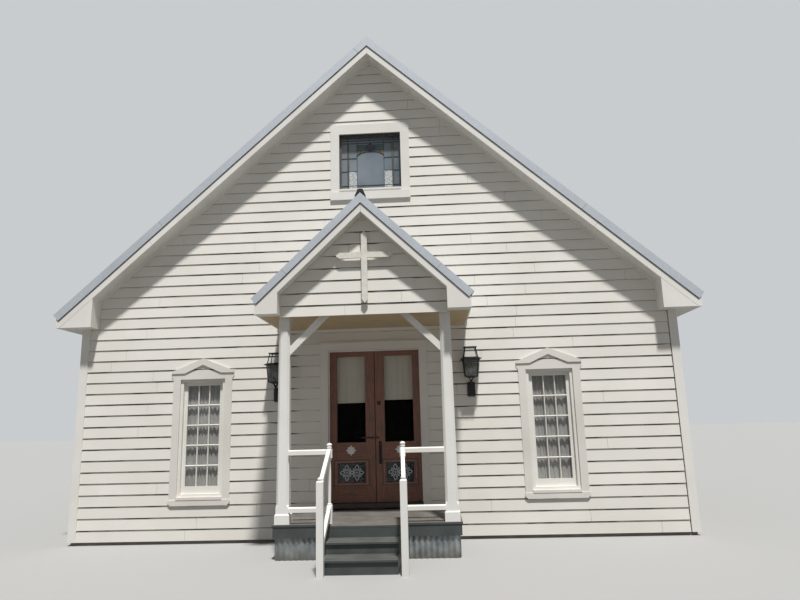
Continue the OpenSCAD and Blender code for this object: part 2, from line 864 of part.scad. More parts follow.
// Long plate with a grip that stands off it, on the right leaf's meeting stile
module door_pull() {
    translate([pull_x - 24, leaf_front - 4, pull_low]) cube([48, 4, pull_h]);
    for (z = [pull_low + 62, pull_low + pull_h - 88])
        translate([pull_x, leaf_front, z]) rotate([90, 0, 0]) cylinder(d = 16, h = 38);
    translate([pull_x, leaf_front - 38, pull_low + 50])
        cylinder(d = 18, h = pull_h - 126);
    for (z = [pull_low + 50, pull_low + pull_h - 76])
        translate([pull_x, leaf_front - 38, z]) sphere(d = 22);
}

module right_door_hardware() {
    color(iron) at_origin() {
        leaf_hinges();
        door_pull();
        // Round latch boss with a short bar, and a square lock plate with its cylinder
        translate([42, leaf_front, latch_z]) rotate([90, 0, 0]) cylinder(d = 34, h = 14);
        translate([12, leaf_front - 14, latch_z - 11]) cube([30, 6, 22]);
        translate([65 - 30, leaf_front - 4, keeper_z - 30]) cube([60, 4, 60]);
        translate([65, leaf_front, keeper_z]) rotate([90, 0, 0]) cylinder(d = 30, h = 16);
        // Round knob on the inner face
        translate([pull_x, leaf_back, pull_low + 240]) rotate([-90, 0, 0]) {
            cylinder(d = 52, h = 4);
            cylinder(d = 20, h = 40);
            translate([0, 0, 46]) sphere(d = 46);
        }
    }
}

// Strap of the latch on the left leaf: a bar in two keepers
module left_door_hardware() {
    color(iron) at_origin() {
        mirror([1, 0, 0]) leaf_hinges();
        translate([-235, leaf_front - 14, latch_z - 11]) cube([223, 6, 22]);
        for (x = [-216, -52]) translate([x, leaf_front - 18, latch_z - 17]) cube([16, 18, 34]);
    }
}

// Carved rosette on the lock rail: eight shallow lobes, four narrow tips and a domed middle
module rosette() {
    x = (glass_x0 + glass_x1) / 2 + 9;
    z = (large_foot + small_top) / 2 + 28;
    translate([x, leaf_front, z]) rotate([90, 0, 0]) {
        linear_extrude(7) polygon([for (a = [0 : 5 : 355])
            (63 + 4 * cos(8 * a) + 19 * pow(max(0, cos(4 * a)), 12)) * [cos(a), sin(a)]]);
        linear_extrude(12) polygon([for (a = [0 : 7.5 : 352.5])
            (43 + 6 * cos(8 * a)) * [cos(a), sin(a)]]);
        intersection() {
            translate([0, 0, -12]) sphere(d = 60);
            cylinder(d = 70, h = 30);
        }
    }
}

module right_door_rosette() {
    color(trim_white) at_origin() rosette();
}

module left_door_rosette() {
    color(trim_white) at_origin() mirror([1, 0, 0]) rosette();
}

// Porch

module porch_deck() {
    color(deck_grey) at_origin() {
        translate([-deck_w / 2, -deck_d, deck_h - deck_t]) cube([deck_w, deck_d, deck_t]);
        translate([-step_w / 2, -deck_d - top_step, deck_h - deck_t])
            cube([step_w, top_step, deck_t]);
    }
}

module porch_rim() {
    top = deck_h - deck_t;
    color(deck_grey) at_origin() translate([0, 0, top - rim_h]) linear_extrude(rim_h)
        difference() {
            translate([-deck_w / 2 + 12, -deck_d + 12]) square([deck_w - 24, deck_d - 12]);
            translate([-deck_w / 2 + 50, -deck_d + 50]) square([deck_w - 100, deck_d - 88]);
        }
}

module porch_skirting() {
    top = deck_h - deck_t - rim_h;
    wave = 76;
    depth = 9;
    x0 = deck_w / 2 - 40;
    y0 = -deck_d + 40;
    side = floor(-y0 / (wave / 4)) * (wave / 4);
    front = floor(2 * x0 / (wave / 4)) * (wave / 4);
    color("#9DA2A3") at_origin() linear_extrude(top) {
        translate([-front / 2, y0]) polygon(concat(
            [for (i = [0 : wave / 4 : front]) [i, depth * sin(i * 360 / wave)]],
            [for (i = [front : -wave / 4 : 0]) [i, depth * sin(i * 360 / wave) + 3]]
        ));
        for (s = [-1, 1]) translate([s * x0, y0 + 30]) rotate([0, 0, 90]) polygon(concat(
            [for (i = [0 : wave / 4 : side - 60]) [i, depth * sin(i * 360 / wave)]],
            [for (i = [side - 60 : -wave / 4 : 0]) [i, depth * sin(i * 360 / wave) + 3]]
        ));
    }
}

// Front edge of the top step and the treads, and front face of their risers; the top riser is
// flush with the boards above it
function tread_y(k) = -deck_d - top_step - k * going;
function riser_y(k) = tread_y(k) + (k == 0 ? 0 : nosing);

module porch_steps() {
    color(deck_grey) at_origin() for (k = [1 : risers - 1])
        translate([-step_w / 2, tread_y(k), deck_h - k * riser_h - deck_t])
            cube([step_w, riser_y(k - 1) - 2 - tread_y(k), deck_t]);
}

module step_stringers() {
    color(deck_grey) at_origin() {
        for (k = [0 : risers - 1]) {
            low = k == risers - 1 ? 0 : deck_h - (k + 1) * riser_h;
            translate([-step_w / 2 + 41, riser_y(k), low])
                cube([step_w - 82, 20, deck_h - k * riser_h - deck_t - low]);
        }
        both_sides() along(step_w / 2 - 40, step_w / 2) polygon([
            for (k = [0 : risers - 1]) each [
                [riser_y(k), deck_h - deck_t - k * riser_h],
                [riser_y(k), max(0, deck_h - deck_t - (k + 1) * riser_h)]
            ],
            [-deck_d, 0], [-deck_d, deck_h - deck_t]
        ]);
    }
}

module octagon(w, c) {
    h = w / 2;
    polygon([
        [-h + c, -h], [h - c, -h], [h, -h + c], [h, h - c],
        [h - c, h], [-h + c, h], [-h, h - c], [-h, -h + c]
    ]);
}

shaft_foot = deck_h + plinth_h + 70;
shaft_top = ceiling_h - post_block_h;
// Half the width of a post's shaft at a height
function shaft_half(z) = z < shaft_foot + post_turn ? post_w / 2
    : (post_w - 1 - (post_w - 1 - post_top_w) * (z - shaft_foot - post_turn - 1)
        / (shaft_top - shaft_foot - 2 * post_turn)) / 2;

// Square foot in a plinth, a tapered shaft with broad chamfers and a square block on top
module post() {
    half = post_w / 2;
    translate([-plinth_w / 2, -plinth_w / 2, deck_h]) cube([plinth_w, plinth_w, plinth_h - 14]);
    translate([0, 0, deck_h + plinth_h - 14])
        linear_extrude(14, scale = (post_w + 4) / plinth_w) square(plinth_w, center = true);
    translate([-half, -half, deck_h]) cube([post_w, post_w, shaft_foot - deck_h]);
    hull() {
        translate([0, 0, shaft_foot - 1]) linear_extrude(1) octagon(post_w, 1);
        translate([0, 0, shaft_foot + post_turn]) linear_extrude(1)
            octagon(post_w - 1, post_chamfer);
    }
    hull() {
        translate([0, 0, shaft_foot + post_turn]) linear_extrude(1)
            octagon(post_w - 1, post_chamfer);
        translate([0, 0, shaft_top - post_turn]) linear_extrude(1)
            octagon(post_top_w, post_chamfer);
    }
    hull() {
        translate([0, 0, shaft_top - post_turn]) linear_extrude(1)
            octagon(post_top_w, post_chamfer);
        translate([0, 0, shaft_top - 6]) linear_extrude(1) octagon(post_top_w, 1);
    }
    translate([-post_top_w / 2 + 4, -post_top_w / 2 + 4, shaft_top - 8])
        cube([post_top_w - 8, post_top_w - 8, 10]);
    translate([-post_top_w / 2, -post_top_w / 2, shaft_top])
        cube([post_top_w, post_top_w, post_block_h]);
}

module porch_posts() {
    color(trim_white) at_origin() both_sides() translate([post_x, -post_d, 0]) post();
}

module porch_braces() {
    // The brace runs at 45 degrees from the shaft's inner face to the ceiling
    reach = 428;
    face = brace_t * sqrt(2);
    inner = post_x - shaft_half(ceiling_h - reach - face) - seat_gap;
    color(trim_white) at_origin() both_sides()
        across(-post_d - 38, -post_d + 38) polygon([
            [inner, ceiling_h - reach - face], [inner, ceiling_h - reach],
            [inner - reach, ceiling_h], [inner - reach - face, ceiling_h]
        ]);
}

module porch_gable() {
    y = -porch_gable_d;
    top = ceiling_h + ceiling_t;
    g = porch_gable_half;
    color(white) at_origin() {
        across(y, y + porch_gable_t) polygon([
            [-g, top], [g, top], [g, porch_under_h(g)], [0, porch_under_h(0)],
            [-g, porch_under_h(g)]
        ]);
        translate([-g, y, ceiling_h - 21]) cube([2 * g, ceiling_t, 21 + ceiling_t]);
    }
}

module porch_ceiling() {
    half = porch_half - board_t;
    color("#B9A98C") at_origin()
        translate([-half, -porch_gable_d + ceiling_t, ceiling_h])
            cube([2 * half, porch_gable_d - ceiling_t, ceiling_t]);
}

module porch_slope() {
    across(-porch_front + board_t, 0)
        slope_outline(porch_apex_h, porch_pitch, porch_roof_t, porch_half - board_t,
            ceiling_h + ceiling_t);
}

module porch_roof_deck() {
    color(white) at_origin() {
        porch_slope();
        mirror([1, 0, 0]) porch_slope();
    }
}

module porch_roof_metal() {
    color(steel) at_origin() both_sides()
        ribbed_sheet(porch_apex_h, porch_pitch, porch_roof_t, porch_run, -porch_front, 0);
}

module porch_eaves() {
    top = porch_apex_h + porch_roof_t / cos(porch_pitch) - porch_half * tan(porch_pitch);
    color(trim_white) at_origin() {
        both_sides() translate([porch_half - board_t, -porch_front + board_t, ceiling_h])
            cube([board_t, porch_front - board_t, top - ceiling_h]);
        translate([-porch_half + board_t + 2, -bed_d, ceiling_h - 34])
            cube([2 * (porch_half - board_t) - 4, bed_d, 34]);
    }
}

// One arm's outline along +X from the middle, with a notched and pointed tip
function arm_tip(reach, w) = [
    [reach - 74, -w / 2], [reach - 62, -w / 2 - 5], [reach - 50, -w / 2 + 6],
    [reach - 22, -w / 2 + 20], [reach, 0], [reach - 22, w / 2 - 20], [reach - 50, w / 2 - 6],
    [reach - 62, w / 2 + 5], [reach - 74, w / 2]
];

module porch_cross() {
    x = 32;
    arm = 84;
    reach = 412;
    up = 359;
    down = 696;
    mid = ceiling_h + 833;
    y = -porch_gable_d - 87;
    color("#D9D3C4") at_origin() {
        across(y, y + 30) translate([x, mid]) {
            for (e = [[0, reach], [180, reach], [90, up], [-90, down]]) rotate(e[0])
                polygon(concat([[0, -arm / 2]], arm_tip(e[1], arm), [[0, arm / 2]]));
        }
        for (z = [mid - 560, mid]) translate([x - 30, y + 30, z - 30]) cube([60, 57, 60]);
    }
}

// Turned piece between two heights: a list of radius and height pairs round the Z axis
module turned(points) {
    z0 = points[0][1];
    z1 = points[len(points) - 1][1];
    rotate_extrude() polygon(concat([[0, z0]], points, [[0, z1]]));
}

function bead(r, z, h) = [for (a = [-90 : 30 : 90]) [r - h / 2 + h / 2 * cos(a), z + h / 2 * sin(a)]];

// Newel at the deck: square foot, thin turned shaft between beads, square block, neck and dome
module newel() {
    w = newel_w;
    half = w / 2;
    r = newel_turn_d / 2;
    foot = low_rail_h + 14;
    block_low = rail_h - 118;
    block_high = rail_h + 5;
    dome = block_high + 49;
    top = rail_h + newel_cap_h;
    translate([-half, -half, 0]) cube([w, w, foot]);
    translate([0, 0, foot]) linear_extrude(9, scale = 0.78) square(w, center = true);
    translate([-half, -half, block_low]) cube([w, w, block_high - block_low]);
    turned(concat(
        [[r, foot]], bead(half - 3, foot + 17, 16),
        [[r - 3, foot + 30], [r, foot + 210], [r, foot + 420], [r - 4, block_low - 36]],
        bead(half - 6, block_low - 20, 14), [[r - 1, block_low - 10], [r + 4, block_low]]
    ));
    turned(concat(
        [[half - 9, block_high]], bead(half - 2, block_high + 22, 22),
        [[half - 12, block_high + 38], [half - 12, dome - 5], [half - 2, dome - 3]],
        [for (a = [0 : 15 : 75]) [half * cos(a), dome + (top - dome) * sin(a)]],
        [[0, top]]
    ));
}

// Newel at the ground: a square post with sloped shoulders, a neck and a low domed cap
module ground_newel() {
    w = ground_newel_w;
    h = ground_newel_h;
    translate([-w / 2, -w / 2, 0]) cube([w, w, h - 16]);
    translate([0, 0, h - 16]) linear_extrude(16, scale = 0.76) square(w, center = true);
    turned(concat([[w / 2 - 18, h - 10], [w / 2 - 18, h + 10], [w / 2 - 11, h + 13]],
        [for (a = [0 : 15 : 75]) [(w / 2 - 10) * cos(a), h + 16 + 24 * sin(a)]], [[0, h + 40]]));
}

newel_y = -deck_d + 22 + newel_w / 2;
ground_newel_y = -stair_front - ground_newel_gap - ground_newel_w / 2;
ground_half = ground_newel_x - ground_newel_w / 2;

module porch_newels() {
    color(trim_white) at_origin() {
        both_sides() translate([newel_x - newel_w / 2, newel_y, deck_h]) newel();
        for (s = [-1, 1]) translate([foot_shift + s * ground_half, ground_newel_y, 0])
            ground_newel();
    }
}

// Rail section with its upper edges taken off
module rail_section_outline(top) {
    h = rail_w / 2;
    polygon([
        [-h, top - rail_section], [h, top - rail_section], [h, top - 14], [h - 12, top],
        [-h + 12, top], [-h, top - 14]
    ]);
}

// Rails between the newels and the posts, and sloped rails down to the ground newels
module porch_rails() {
    y1 = newel_y - newel_w / 2;
    y0 = ground_newel_y + ground_newel_w / 2;
    drop = deck_h + rail_h - ground_newel_h + 6;
    color(trim_white) at_origin() {
        both_sides() for (h = [rail_h, low_rail_h]) translate([0, newel_y, deck_h])
            along(newel_x, post_x - shaft_half(deck_h + h - rail_section) - seat_gap)
                rail_section_outline(h);
        for (s = [-1, 1], top = [deck_h + rail_h, deck_h + low_rail_h + 10]) hull() {
            translate([s * (newel_x - newel_w / 2) - 25, y1 - 1, top - 72]) cube([50, 1, 72]);
            translate([foot_shift + s * ground_half - 25, y0, top - drop - 72])
                cube([50, 1, 72]);
        }
    }
}

// Lanterns

lantern_y = -lantern_gap - lantern_w / 2;
rim_z = lantern_top - 14 - gallery_h;
glass_top = rim_z - 32;
glass_foot = glass_top - lantern_glass_h;
plate_top = glass_foot - 82;

// A slim bar over a corner of the lantern, between two half widths and heights
module corner_bars(low_half, low, high_half, high, t) {
    for (a = [45 : 90 : 315]) rotate([0, 0, a]) across(-t / 2, t / 2) polygon([
        [high_half * sqrt(2) - t, high], [high_half * sqrt(2), high],
        [low_half * sqrt(2), low], [low_half * sqrt(2) - t, low]
    ]);
}

// Top plate, open gallery, flared rim, glazed body, foot, stem, bent arm and wall plate
module lantern() {
    top_half = lantern_top_w / 2;
    rim_half = lantern_w / 2;
    hi = lantern_glass_w / 2;
    lo = lantern_foot_w / 2;
    arm_z = plate_top - 30;
    translate([0, lantern_y, 0]) {
        translate([-top_half, -top_half, lantern_top - 8]) cube([2 * top_half, 2 * top_half, 8]);
        translate([-top_half + 14, -top_half + 14, lantern_top - 14])
            cube([2 * top_half - 28, 2 * top_half - 28, 8]);
        corner_bars(rim_half - 46, rim_z - 2, top_half - 18, lantern_top - 8, 11);
        translate([-rim_half + 42, -rim_half + 42, rim_z - 6])
            cube([2 * rim_half - 84, 2 * rim_half - 84, 6]);
        translate([0, 0, rim_z - 26]) linear_extrude(22, scale = (rim_half - 42) / rim_half)
            square(2 * rim_half, center = true);
        translate([-rim_half, -rim_half, rim_z - 32]) cube([2 * rim_half, 2 * rim_half, 6]);
        corner_bars(lo + 4, glass_foot, hi + 4, glass_top, 12);
        translate([-lo - 6, -lo - 6, glass_foot - 10]) cube([2 * lo + 12, 2 * lo + 12, 10]);
        translate([0, 0, glass_foot - 24]) mirror([0, 0, 1]) translate([0, 0, -14])
            linear_extrude(14, scale = 0.7) square(2 * lo - 24, center = true);
        for (a = [45 : 90 : 315]) rotate([0, 0, a]) translate([10, 0, plate_top - 6])
            rotate([0, 28, 0]) cylinder(d1 = 9, d2 = 15, h = 74);
        turned([[13, plate_top - 14], [17, plate_top - 4], [13, plate_top + 6],
            [9, plate_top + 30]]);
        translate([0, 0, glass_foot]) cylinder(d = 34, h = 44);
        // Bend from the stem towards the wall
        translate([0, 16, plate_top - 14]) rotate([0, 90, 0]) rotate([0, 0, -90])
            rotate_extrude(angle = 90) translate([16, 0]) circle(d = 22, $fn = 24);
    }
    translate([0, 2 - lantern_plate_t, arm_z]) rotate([90, 0, 0])
        cylinder(d = 22, h = -lantern_y - 14 - lantern_plate_t, $fn = 24);
    across(-lantern_plate_t, 0) polygon([
        [-62, plate_top - 212], [-62, plate_top - 16], [-46, plate_top], [46, plate_top],
        [62, plate_top - 16], [62, plate_top - 212], [46, plate_top - 228],
        [-46, plate_top - 228]
    ]);
}

module wall_lanterns() {
    color(iron) at_origin() both_sides() translate([lantern_x, 0, 0]) lantern();
}

// Four thin panes that lean out towards the rim
module lantern_panes() {
    hi = lantern_glass_w - 12;
    lo = lantern_foot_w - 12;
    difference() {
        linear_extrude(lantern_glass_h, scale = hi / lo) square(lo, center = true);
        translate([0, 0, -1])
            linear_extrude(lantern_glass_h + 2, scale = (hi - 8) / (lo - 8))
                square(lo - 8, center = true);
    }
}

module lantern_glass() {
    color(glass_tint, 0.5) at_origin() both_sides()
        translate([lantern_x, lantern_y, glass_foot]) lantern_panes();
}

module lantern_bulbs() {
    color("#E8E4D8") at_origin() both_sides()
        translate([lantern_x, lantern_y, glass_foot + 44])
            turned([[14, 0], [16, 12], [29, 40], [32, 62], [27, 88], [14, 112], [0, 128]]);
}

foundation();
floor();
front_wall_left();
front_wall_right();
front_gable();
left_wall();
right_wall();
back_wall();
roof_deck_left();
roof_deck_right();
roof_metal();
ridge_caps();
rake_trims();
rake_boards();
cornice_returns();
eave_boxes();
gable_mouldings();
corner_boards();
window_casings();
window_sills();
window_frames();
window_glass();
window_curtains();
attic_casing();
attic_frame();
attic_glass();
door_casing();
door_frame();
door_threshold();
left_door();
right_door();
left_door_glass();
right_door_glass();
left_door_shade();
right_door_shade();
left_door_hardware();
right_door_hardware();
left_door_rosette();
right_door_rosette();
porch_deck();
porch_rim();
porch_skirting();
porch_steps();
step_stringers();
porch_posts();
porch_braces();
porch_gable();
porch_ceiling();
porch_roof_deck();
porch_roof_metal();
porch_eaves();
porch_cross();
porch_rails();
porch_newels();
wall_lanterns();
lantern_glass();
lantern_bulbs();
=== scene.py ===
import math
import random

import bmesh
import bpy
from mathutils import Matrix, Vector


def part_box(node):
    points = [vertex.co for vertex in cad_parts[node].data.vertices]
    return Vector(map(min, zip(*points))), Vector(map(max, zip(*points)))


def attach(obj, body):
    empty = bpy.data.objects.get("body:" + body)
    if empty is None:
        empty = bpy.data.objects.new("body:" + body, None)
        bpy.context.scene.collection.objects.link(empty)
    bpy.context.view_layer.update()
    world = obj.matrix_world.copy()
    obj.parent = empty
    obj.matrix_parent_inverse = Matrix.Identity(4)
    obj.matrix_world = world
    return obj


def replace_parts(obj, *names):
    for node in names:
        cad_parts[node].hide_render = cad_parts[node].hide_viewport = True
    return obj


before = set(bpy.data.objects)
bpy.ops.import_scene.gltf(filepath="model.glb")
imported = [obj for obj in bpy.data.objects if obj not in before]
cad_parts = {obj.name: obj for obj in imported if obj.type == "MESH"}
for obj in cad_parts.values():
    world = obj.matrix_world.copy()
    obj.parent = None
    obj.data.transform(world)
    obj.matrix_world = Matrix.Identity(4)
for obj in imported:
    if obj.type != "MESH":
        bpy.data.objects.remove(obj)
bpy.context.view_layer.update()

# Camera at the photograph's viewpoint: ten metres in front of the front wall, a little right of the
# middle, at eye height, looking slightly up and rolled by a degree and a half.
wall_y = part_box("front_gable")[0].y
cam_yaw, cam_pitch, cam_roll = -0.0487, 0.1987, -0.0264
cam_place = (0.948, wall_y - 10.079, 1.725)
flat_reach = math.cos(cam_pitch)
ahead = Vector((math.sin(cam_yaw) * flat_reach, math.cos(cam_yaw) * flat_reach, math.sin(cam_pitch)))
level = Vector((math.cos(cam_yaw), -math.sin(cam_yaw), 0))
upright = level.cross(ahead)
cam_right = level * math.cos(cam_roll) + upright * math.sin(cam_roll)
cam_up = upright * math.cos(cam_roll) - level * math.sin(cam_roll)
camera_data = bpy.data.cameras.new("camera")
camera_data.lens = 28.05
camera_data.sensor_width = 36
camera_data.clip_end = 300
camera = bpy.data.objects.new("camera", camera_data)
facing = Matrix((cam_right, cam_up, -ahead)).transposed().to_4x4()
camera.matrix_world = Matrix.Translation(cam_place) @ facing
bpy.context.scene.collection.objects.link(camera)
bpy.context.scene.camera = camera
bpy.context.scene.view_settings.view_transform = "Standard"


def linear(hex_colour):
    """sRGB hex to the linear colour that a shader takes."""
    parts = [int(hex_colour[i:i + 2], 16) / 255 for i in (1, 3, 5)]
    straight = [c / 12.92 if c <= 0.04045 else ((c + 0.055) / 1.055) ** 2.4 for c in parts]
    return (*straight, 1.0)


def add(tree, kind, links=None, out=0, stops=(), **settings):
    """Adds a node with its settings, inputs and colour stops, and returns one of its outputs."""
    made = tree.nodes.new("ShaderNode" + kind)
    for name, value in settings.items():
        setattr(made, name, value)
    for socket, value in (links or {}).items():
        if isinstance(value, bpy.types.NodeSocket):
            tree.links.new(value, made.inputs[socket])
        else:
            made.inputs[socket].default_value = value
    for i, (position, colour) in enumerate(stops):
        elements = made.color_ramp.elements
        element = elements[i] if i < 2 else elements.new(position)
        element.position = position
        element.color = linear(colour)
    return made.outputs[out] if made.outputs else made


# Studio: a smooth pale floor, a pale backdrop all round, and one soft lamp high in front, a little
# to the right.
floor_reach = 150
floor_bm = bmesh.new()
bmesh.ops.create_grid(floor_bm, x_segments=2, y_segments=2, size=floor_reach)
floor_mesh = bpy.data.meshes.new("studio_floor")
floor_bm.to_mesh(floor_mesh)
floor_bm.free()
studio_floor = bpy.data.objects.new("studio_floor", floor_mesh)
bpy.context.scene.collection.objects.link(studio_floor)
floor_paint = bpy.data.materials.new("studio_floor_paint")
floor_paint.use_nodes = True
tree = floor_paint.node_tree
shader = tree.nodes["Principled BSDF"]
shader.inputs["Roughness"].default_value = 0.9
floor_mesh.materials.append(floor_paint)


def seen_ray(tree):
    """One where the camera, a mirror or glass looks, and zero where light only bounces."""
    camera_ray = add(tree, "LightPath", out="Is Camera Ray")
    rays = camera_ray.node.outputs
    seen = add(tree, "Math", {0: camera_ray, 1: rays["Is Glossy Ray"]}, operation="MAXIMUM")
    return add(tree, "Math", {0: seen, 1: rays["Is Transmission Ray"]}, operation="MAXIMUM")


# The floor looks pale, but throws back no more light than a yard would.
pale = add(tree, "MixRGB", {"Fac": seen_ray(tree), "Color1": linear("#6B6A68"), "Color2": linear("#A3A29F")})
tree.links.new(pale, shader.inputs["Base Color"])

world = bpy.data.worlds.new("studio")
bpy.context.scene.world = world
world.use_nodes = True
tree = world.node_tree
tree.nodes.clear()
seen = seen_ray(tree)
light = add(tree, "Background", {"Color": linear("#EAEFF8"), "Strength": 0.29})
backdrop = add(tree, "Background", {"Color": linear("#C9CCCF"), "Strength": 1.0})
mixed = add(tree, "MixShader", {"Fac": seen, 1: light, 2: backdrop})
add(tree, "OutputWorld", {"Surface": mixed})

lamp_data = bpy.data.lights.new("soft_lamp", "SUN")
lamp_data.energy = 4.65
lamp_data.angle = math.radians(4)
lamp = bpy.data.objects.new("soft_lamp", lamp_data)
lamp.rotation_euler = (math.radians(24), 0, math.radians(15))
bpy.context.scene.collection.objects.link(lamp)


# Foundation: a stem wall and ledge of cast concrete, left as it came from the form, with fine pits.
def finish(name, roughness, **sockets):
    """A new material with its tree, its shader and the Object coordinates that patterns read."""
    made = bpy.data.materials.new(name)
    made.use_nodes = True
    shader = made.node_tree.nodes["Principled BSDF"]
    shader.inputs["Roughness"].default_value = roughness
    for socket, value in sockets.items():
        shader.inputs[socket.replace("_", " ")].default_value = value
    return made, made.node_tree, shader, add(made.node_tree, "TexCoord", out="Object")


def feed(tree, shader, colour, height, depth, roughness=None, strength=0.5):
    """Links a pattern to the shader's colour, bump and roughness. Depth is the relief in metres."""
    tree.links.new(colour, shader.inputs["Base Color"])
    bump = add(tree, "Bump", {"Height": height, "Distance": depth, "Strength": strength})
    tree.links.new(bump, shader.inputs["Normal"])
    if roughness is not None:
        tree.links.new(roughness, shader.inputs["Roughness"])


def dress(material, *names):
    """Gives CAD nodes whose shape is right their real finish."""
    for name in names:
        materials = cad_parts[name].data.materials
        materials.clear()
        materials.append(material)


def mottled(name, roughness, scale, detail, stops, relief, strength=0.5, distortion=0.0, grit=None,
            **sockets):
    """A finish whose colour and relief follow one noise, or the relief a grit of its own.

    One number for the scale makes it even, and three draw it out along an axis."""
    made, tree, shader, place = finish(name, roughness, **sockets)
    noises = []
    for size, octaves in filter(None, ((scale, detail), grit)):
        even = not isinstance(size, tuple)
        spot = place if even else add(tree, "Mapping", {"Vector": place, "Scale": size})
        noises.append(add(tree, "TexNoise", {"Vector": spot, "Scale": size if even else 1.0,
                                             "Detail": octaves, "Distortion": distortion}))
    tone = add(tree, "ValToRGB", {0: noises[0]}, stops=stops)
    feed(tree, shader, tone, noises[-1], relief, strength=strength)
    return made


dress(mottled("cast_concrete", 0.9, 3.0, 6.0, ((0.3, "#77736B"), (0.7, "#9D9990")), 0.002,
              grit=(140.0, 3.0)), "foundation")


# Floor: tongue and groove pine planks along the nave, 130 mm wide, stained, nailed to the joists.
def box(bm, low, high):
    """One block between two corners."""
    low, high = Vector(low), Vector(high)
    matrix = Matrix.Translation((low + high) / 2) @ Matrix.Diagonal((*(high - low), 1))
    bmesh.ops.create_cube(bm, size=1, matrix=matrix)


def piece(name, bm, material, body="building", smooth=False):
    """Makes the finished mesh an object that rides on a body."""
    bm.normal_update()
    bmesh.ops.recalc_face_normals(bm, faces=bm.faces)
    mesh = bpy.data.meshes.new(name)
    bm.to_mesh(mesh)
    bm.free()
    mesh.materials.append(material)
    if smooth:
        mesh.shade_smooth()
        mesh.set_sharp_from_angle(angle=math.radians(35))
    made = bpy.data.objects.new(name, mesh)
    bpy.context.scene.collection.objects.link(made)
    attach(made, body)
    return made


hair, shortest_board = 1e-6, 0.3


def planks(bm, low, high, across, wide, gap, length, seed):
    """Boards that fill a flat area, side by side along one axis, with staggered end joints."""
    draw = random.Random(seed)
    along = 1 - across
    count = max(1, round((high[across] - low[across]) / wide))
    step = (high[across] - low[across]) / count
    for i in range(count):
        start = low[along]
        reach = start + draw.uniform(0.3, 1.0) * length
        while start < high[along] - hair:
            end = min(reach, high[along])
            if high[along] - end < shortest_board:
                end = high[along]
            corner0, corner1 = [0, 0, low[2]], [0, 0, high[2]]
            corner0[across] = low[across] + i * step + gap / 2
            corner1[across] = low[across] + (i + 1) * step - gap / 2
            corner0[along] = start
            corner1[along] = end - (gap / 2 if end < high[along] else 0)
            box(bm, corner0, corner1)
            start, reach = end, end + length
    return bm


def ease(bm, width, segments=1):
    """Takes every edge off by a small bevel."""
    bmesh.ops.bevel(bm, geom=bm.edges[:], offset=width, affect="EDGES", segments=segments,
                    profile=0.5, material=-1)


pine = mottled("stained_pine_planks", 0.45, (60, 3, 60), 5.0, ((0.3, "#55402C"), (0.7, "#80654A")), 0.0006,
               distortion=0.6)
floor_low, floor_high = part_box("floor")
plank_wide, plank_gap, plank_long = 0.13, 0.002, 3.6
floor_bm = planks(bmesh.new(), floor_low, floor_high, 0, plank_wide, plank_gap, plank_long, seed=3)
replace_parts(piece("plank_floor", floor_bm, pine), "floor")


# Walls: studs sheathed outside and lined inside with upright pine boards under a dark stain, whose
# darkness also stands in for the shade of the closed room: painted shade. The CAD walls give the
# sheathing, the reveals and the lining.
lining_board, groove_share = 0.14, 0.04
lining, tree, shader, place = finish("dark_pine_lining_and_room_shade", 0.6)
drawn = add(tree, "Mapping", {"Vector": place, "Scale": (70, 70, 4)})
grain = add(tree, "TexNoise", {"Vector": drawn, "Scale": 1.0, "Detail": 5.0, "Distortion": 0.5})
sides = add(tree, "SeparateXYZ", {0: place})
run = add(tree, "Math", {0: sides, 1: sides.node.outputs[1]}, operation="ADD")
boards = add(tree, "Math", {0: run, 1: lining_board}, operation="DIVIDE")
within = add(tree, "Math", {0: boards}, operation="FRACT")
groove = add(tree, "Math", {0: within, 1: groove_share}, operation="LESS_THAN")
# The dark stain is also the painted shade of the closed room.
stain = add(tree, "ValToRGB", {0: grain}, stops=((0.3, "#453423"), (0.7, "#66503A")))
joined = add(tree, "MixRGB", {"Fac": groove, "Color1": stain, "Color2": linear("#20170F")})
feed(tree, shader, joined, grain, 0.0008)
dress(lining, "front_wall_left", "front_wall_right", "front_gable", "left_wall", "right_wall", "back_wall")


# Lap siding: boards 178 mm to the weather, each hung over the one below so that its lower edge
# stands 13 mm clear, nailed through the sheathing and painted cream white. Under each lower edge
# the paint is darkened: partly dust, partly a painted shadow.
exposure, lap_out, lap_in, butt, tuck = 0.1778, 0.022, 0.009, 0.008, 0.024
joint_gap, joint_clear, first_joint, board_lengths = 0.0015, 0.2, (0.4, 3.6), (2.44, 3.66, 3.66)
smallest_part, smallest_lap, slope_gap = 0.01, 0.04, 0.003
# Where a wall lies in shade, under its roof slopes and behind the porch, the painted lap shadow is kept
# faint.
roof_shade_band, porch_shade_edge = (0.85, 1.15), 0.1
half_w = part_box("front_gable")[1].x
back_wall_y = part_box("back_wall")[1].y
apex_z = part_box("front_gable")[1].z
wall_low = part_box("front_wall_left")[0].z
main_roof = (apex_z, math.radians(42.4))


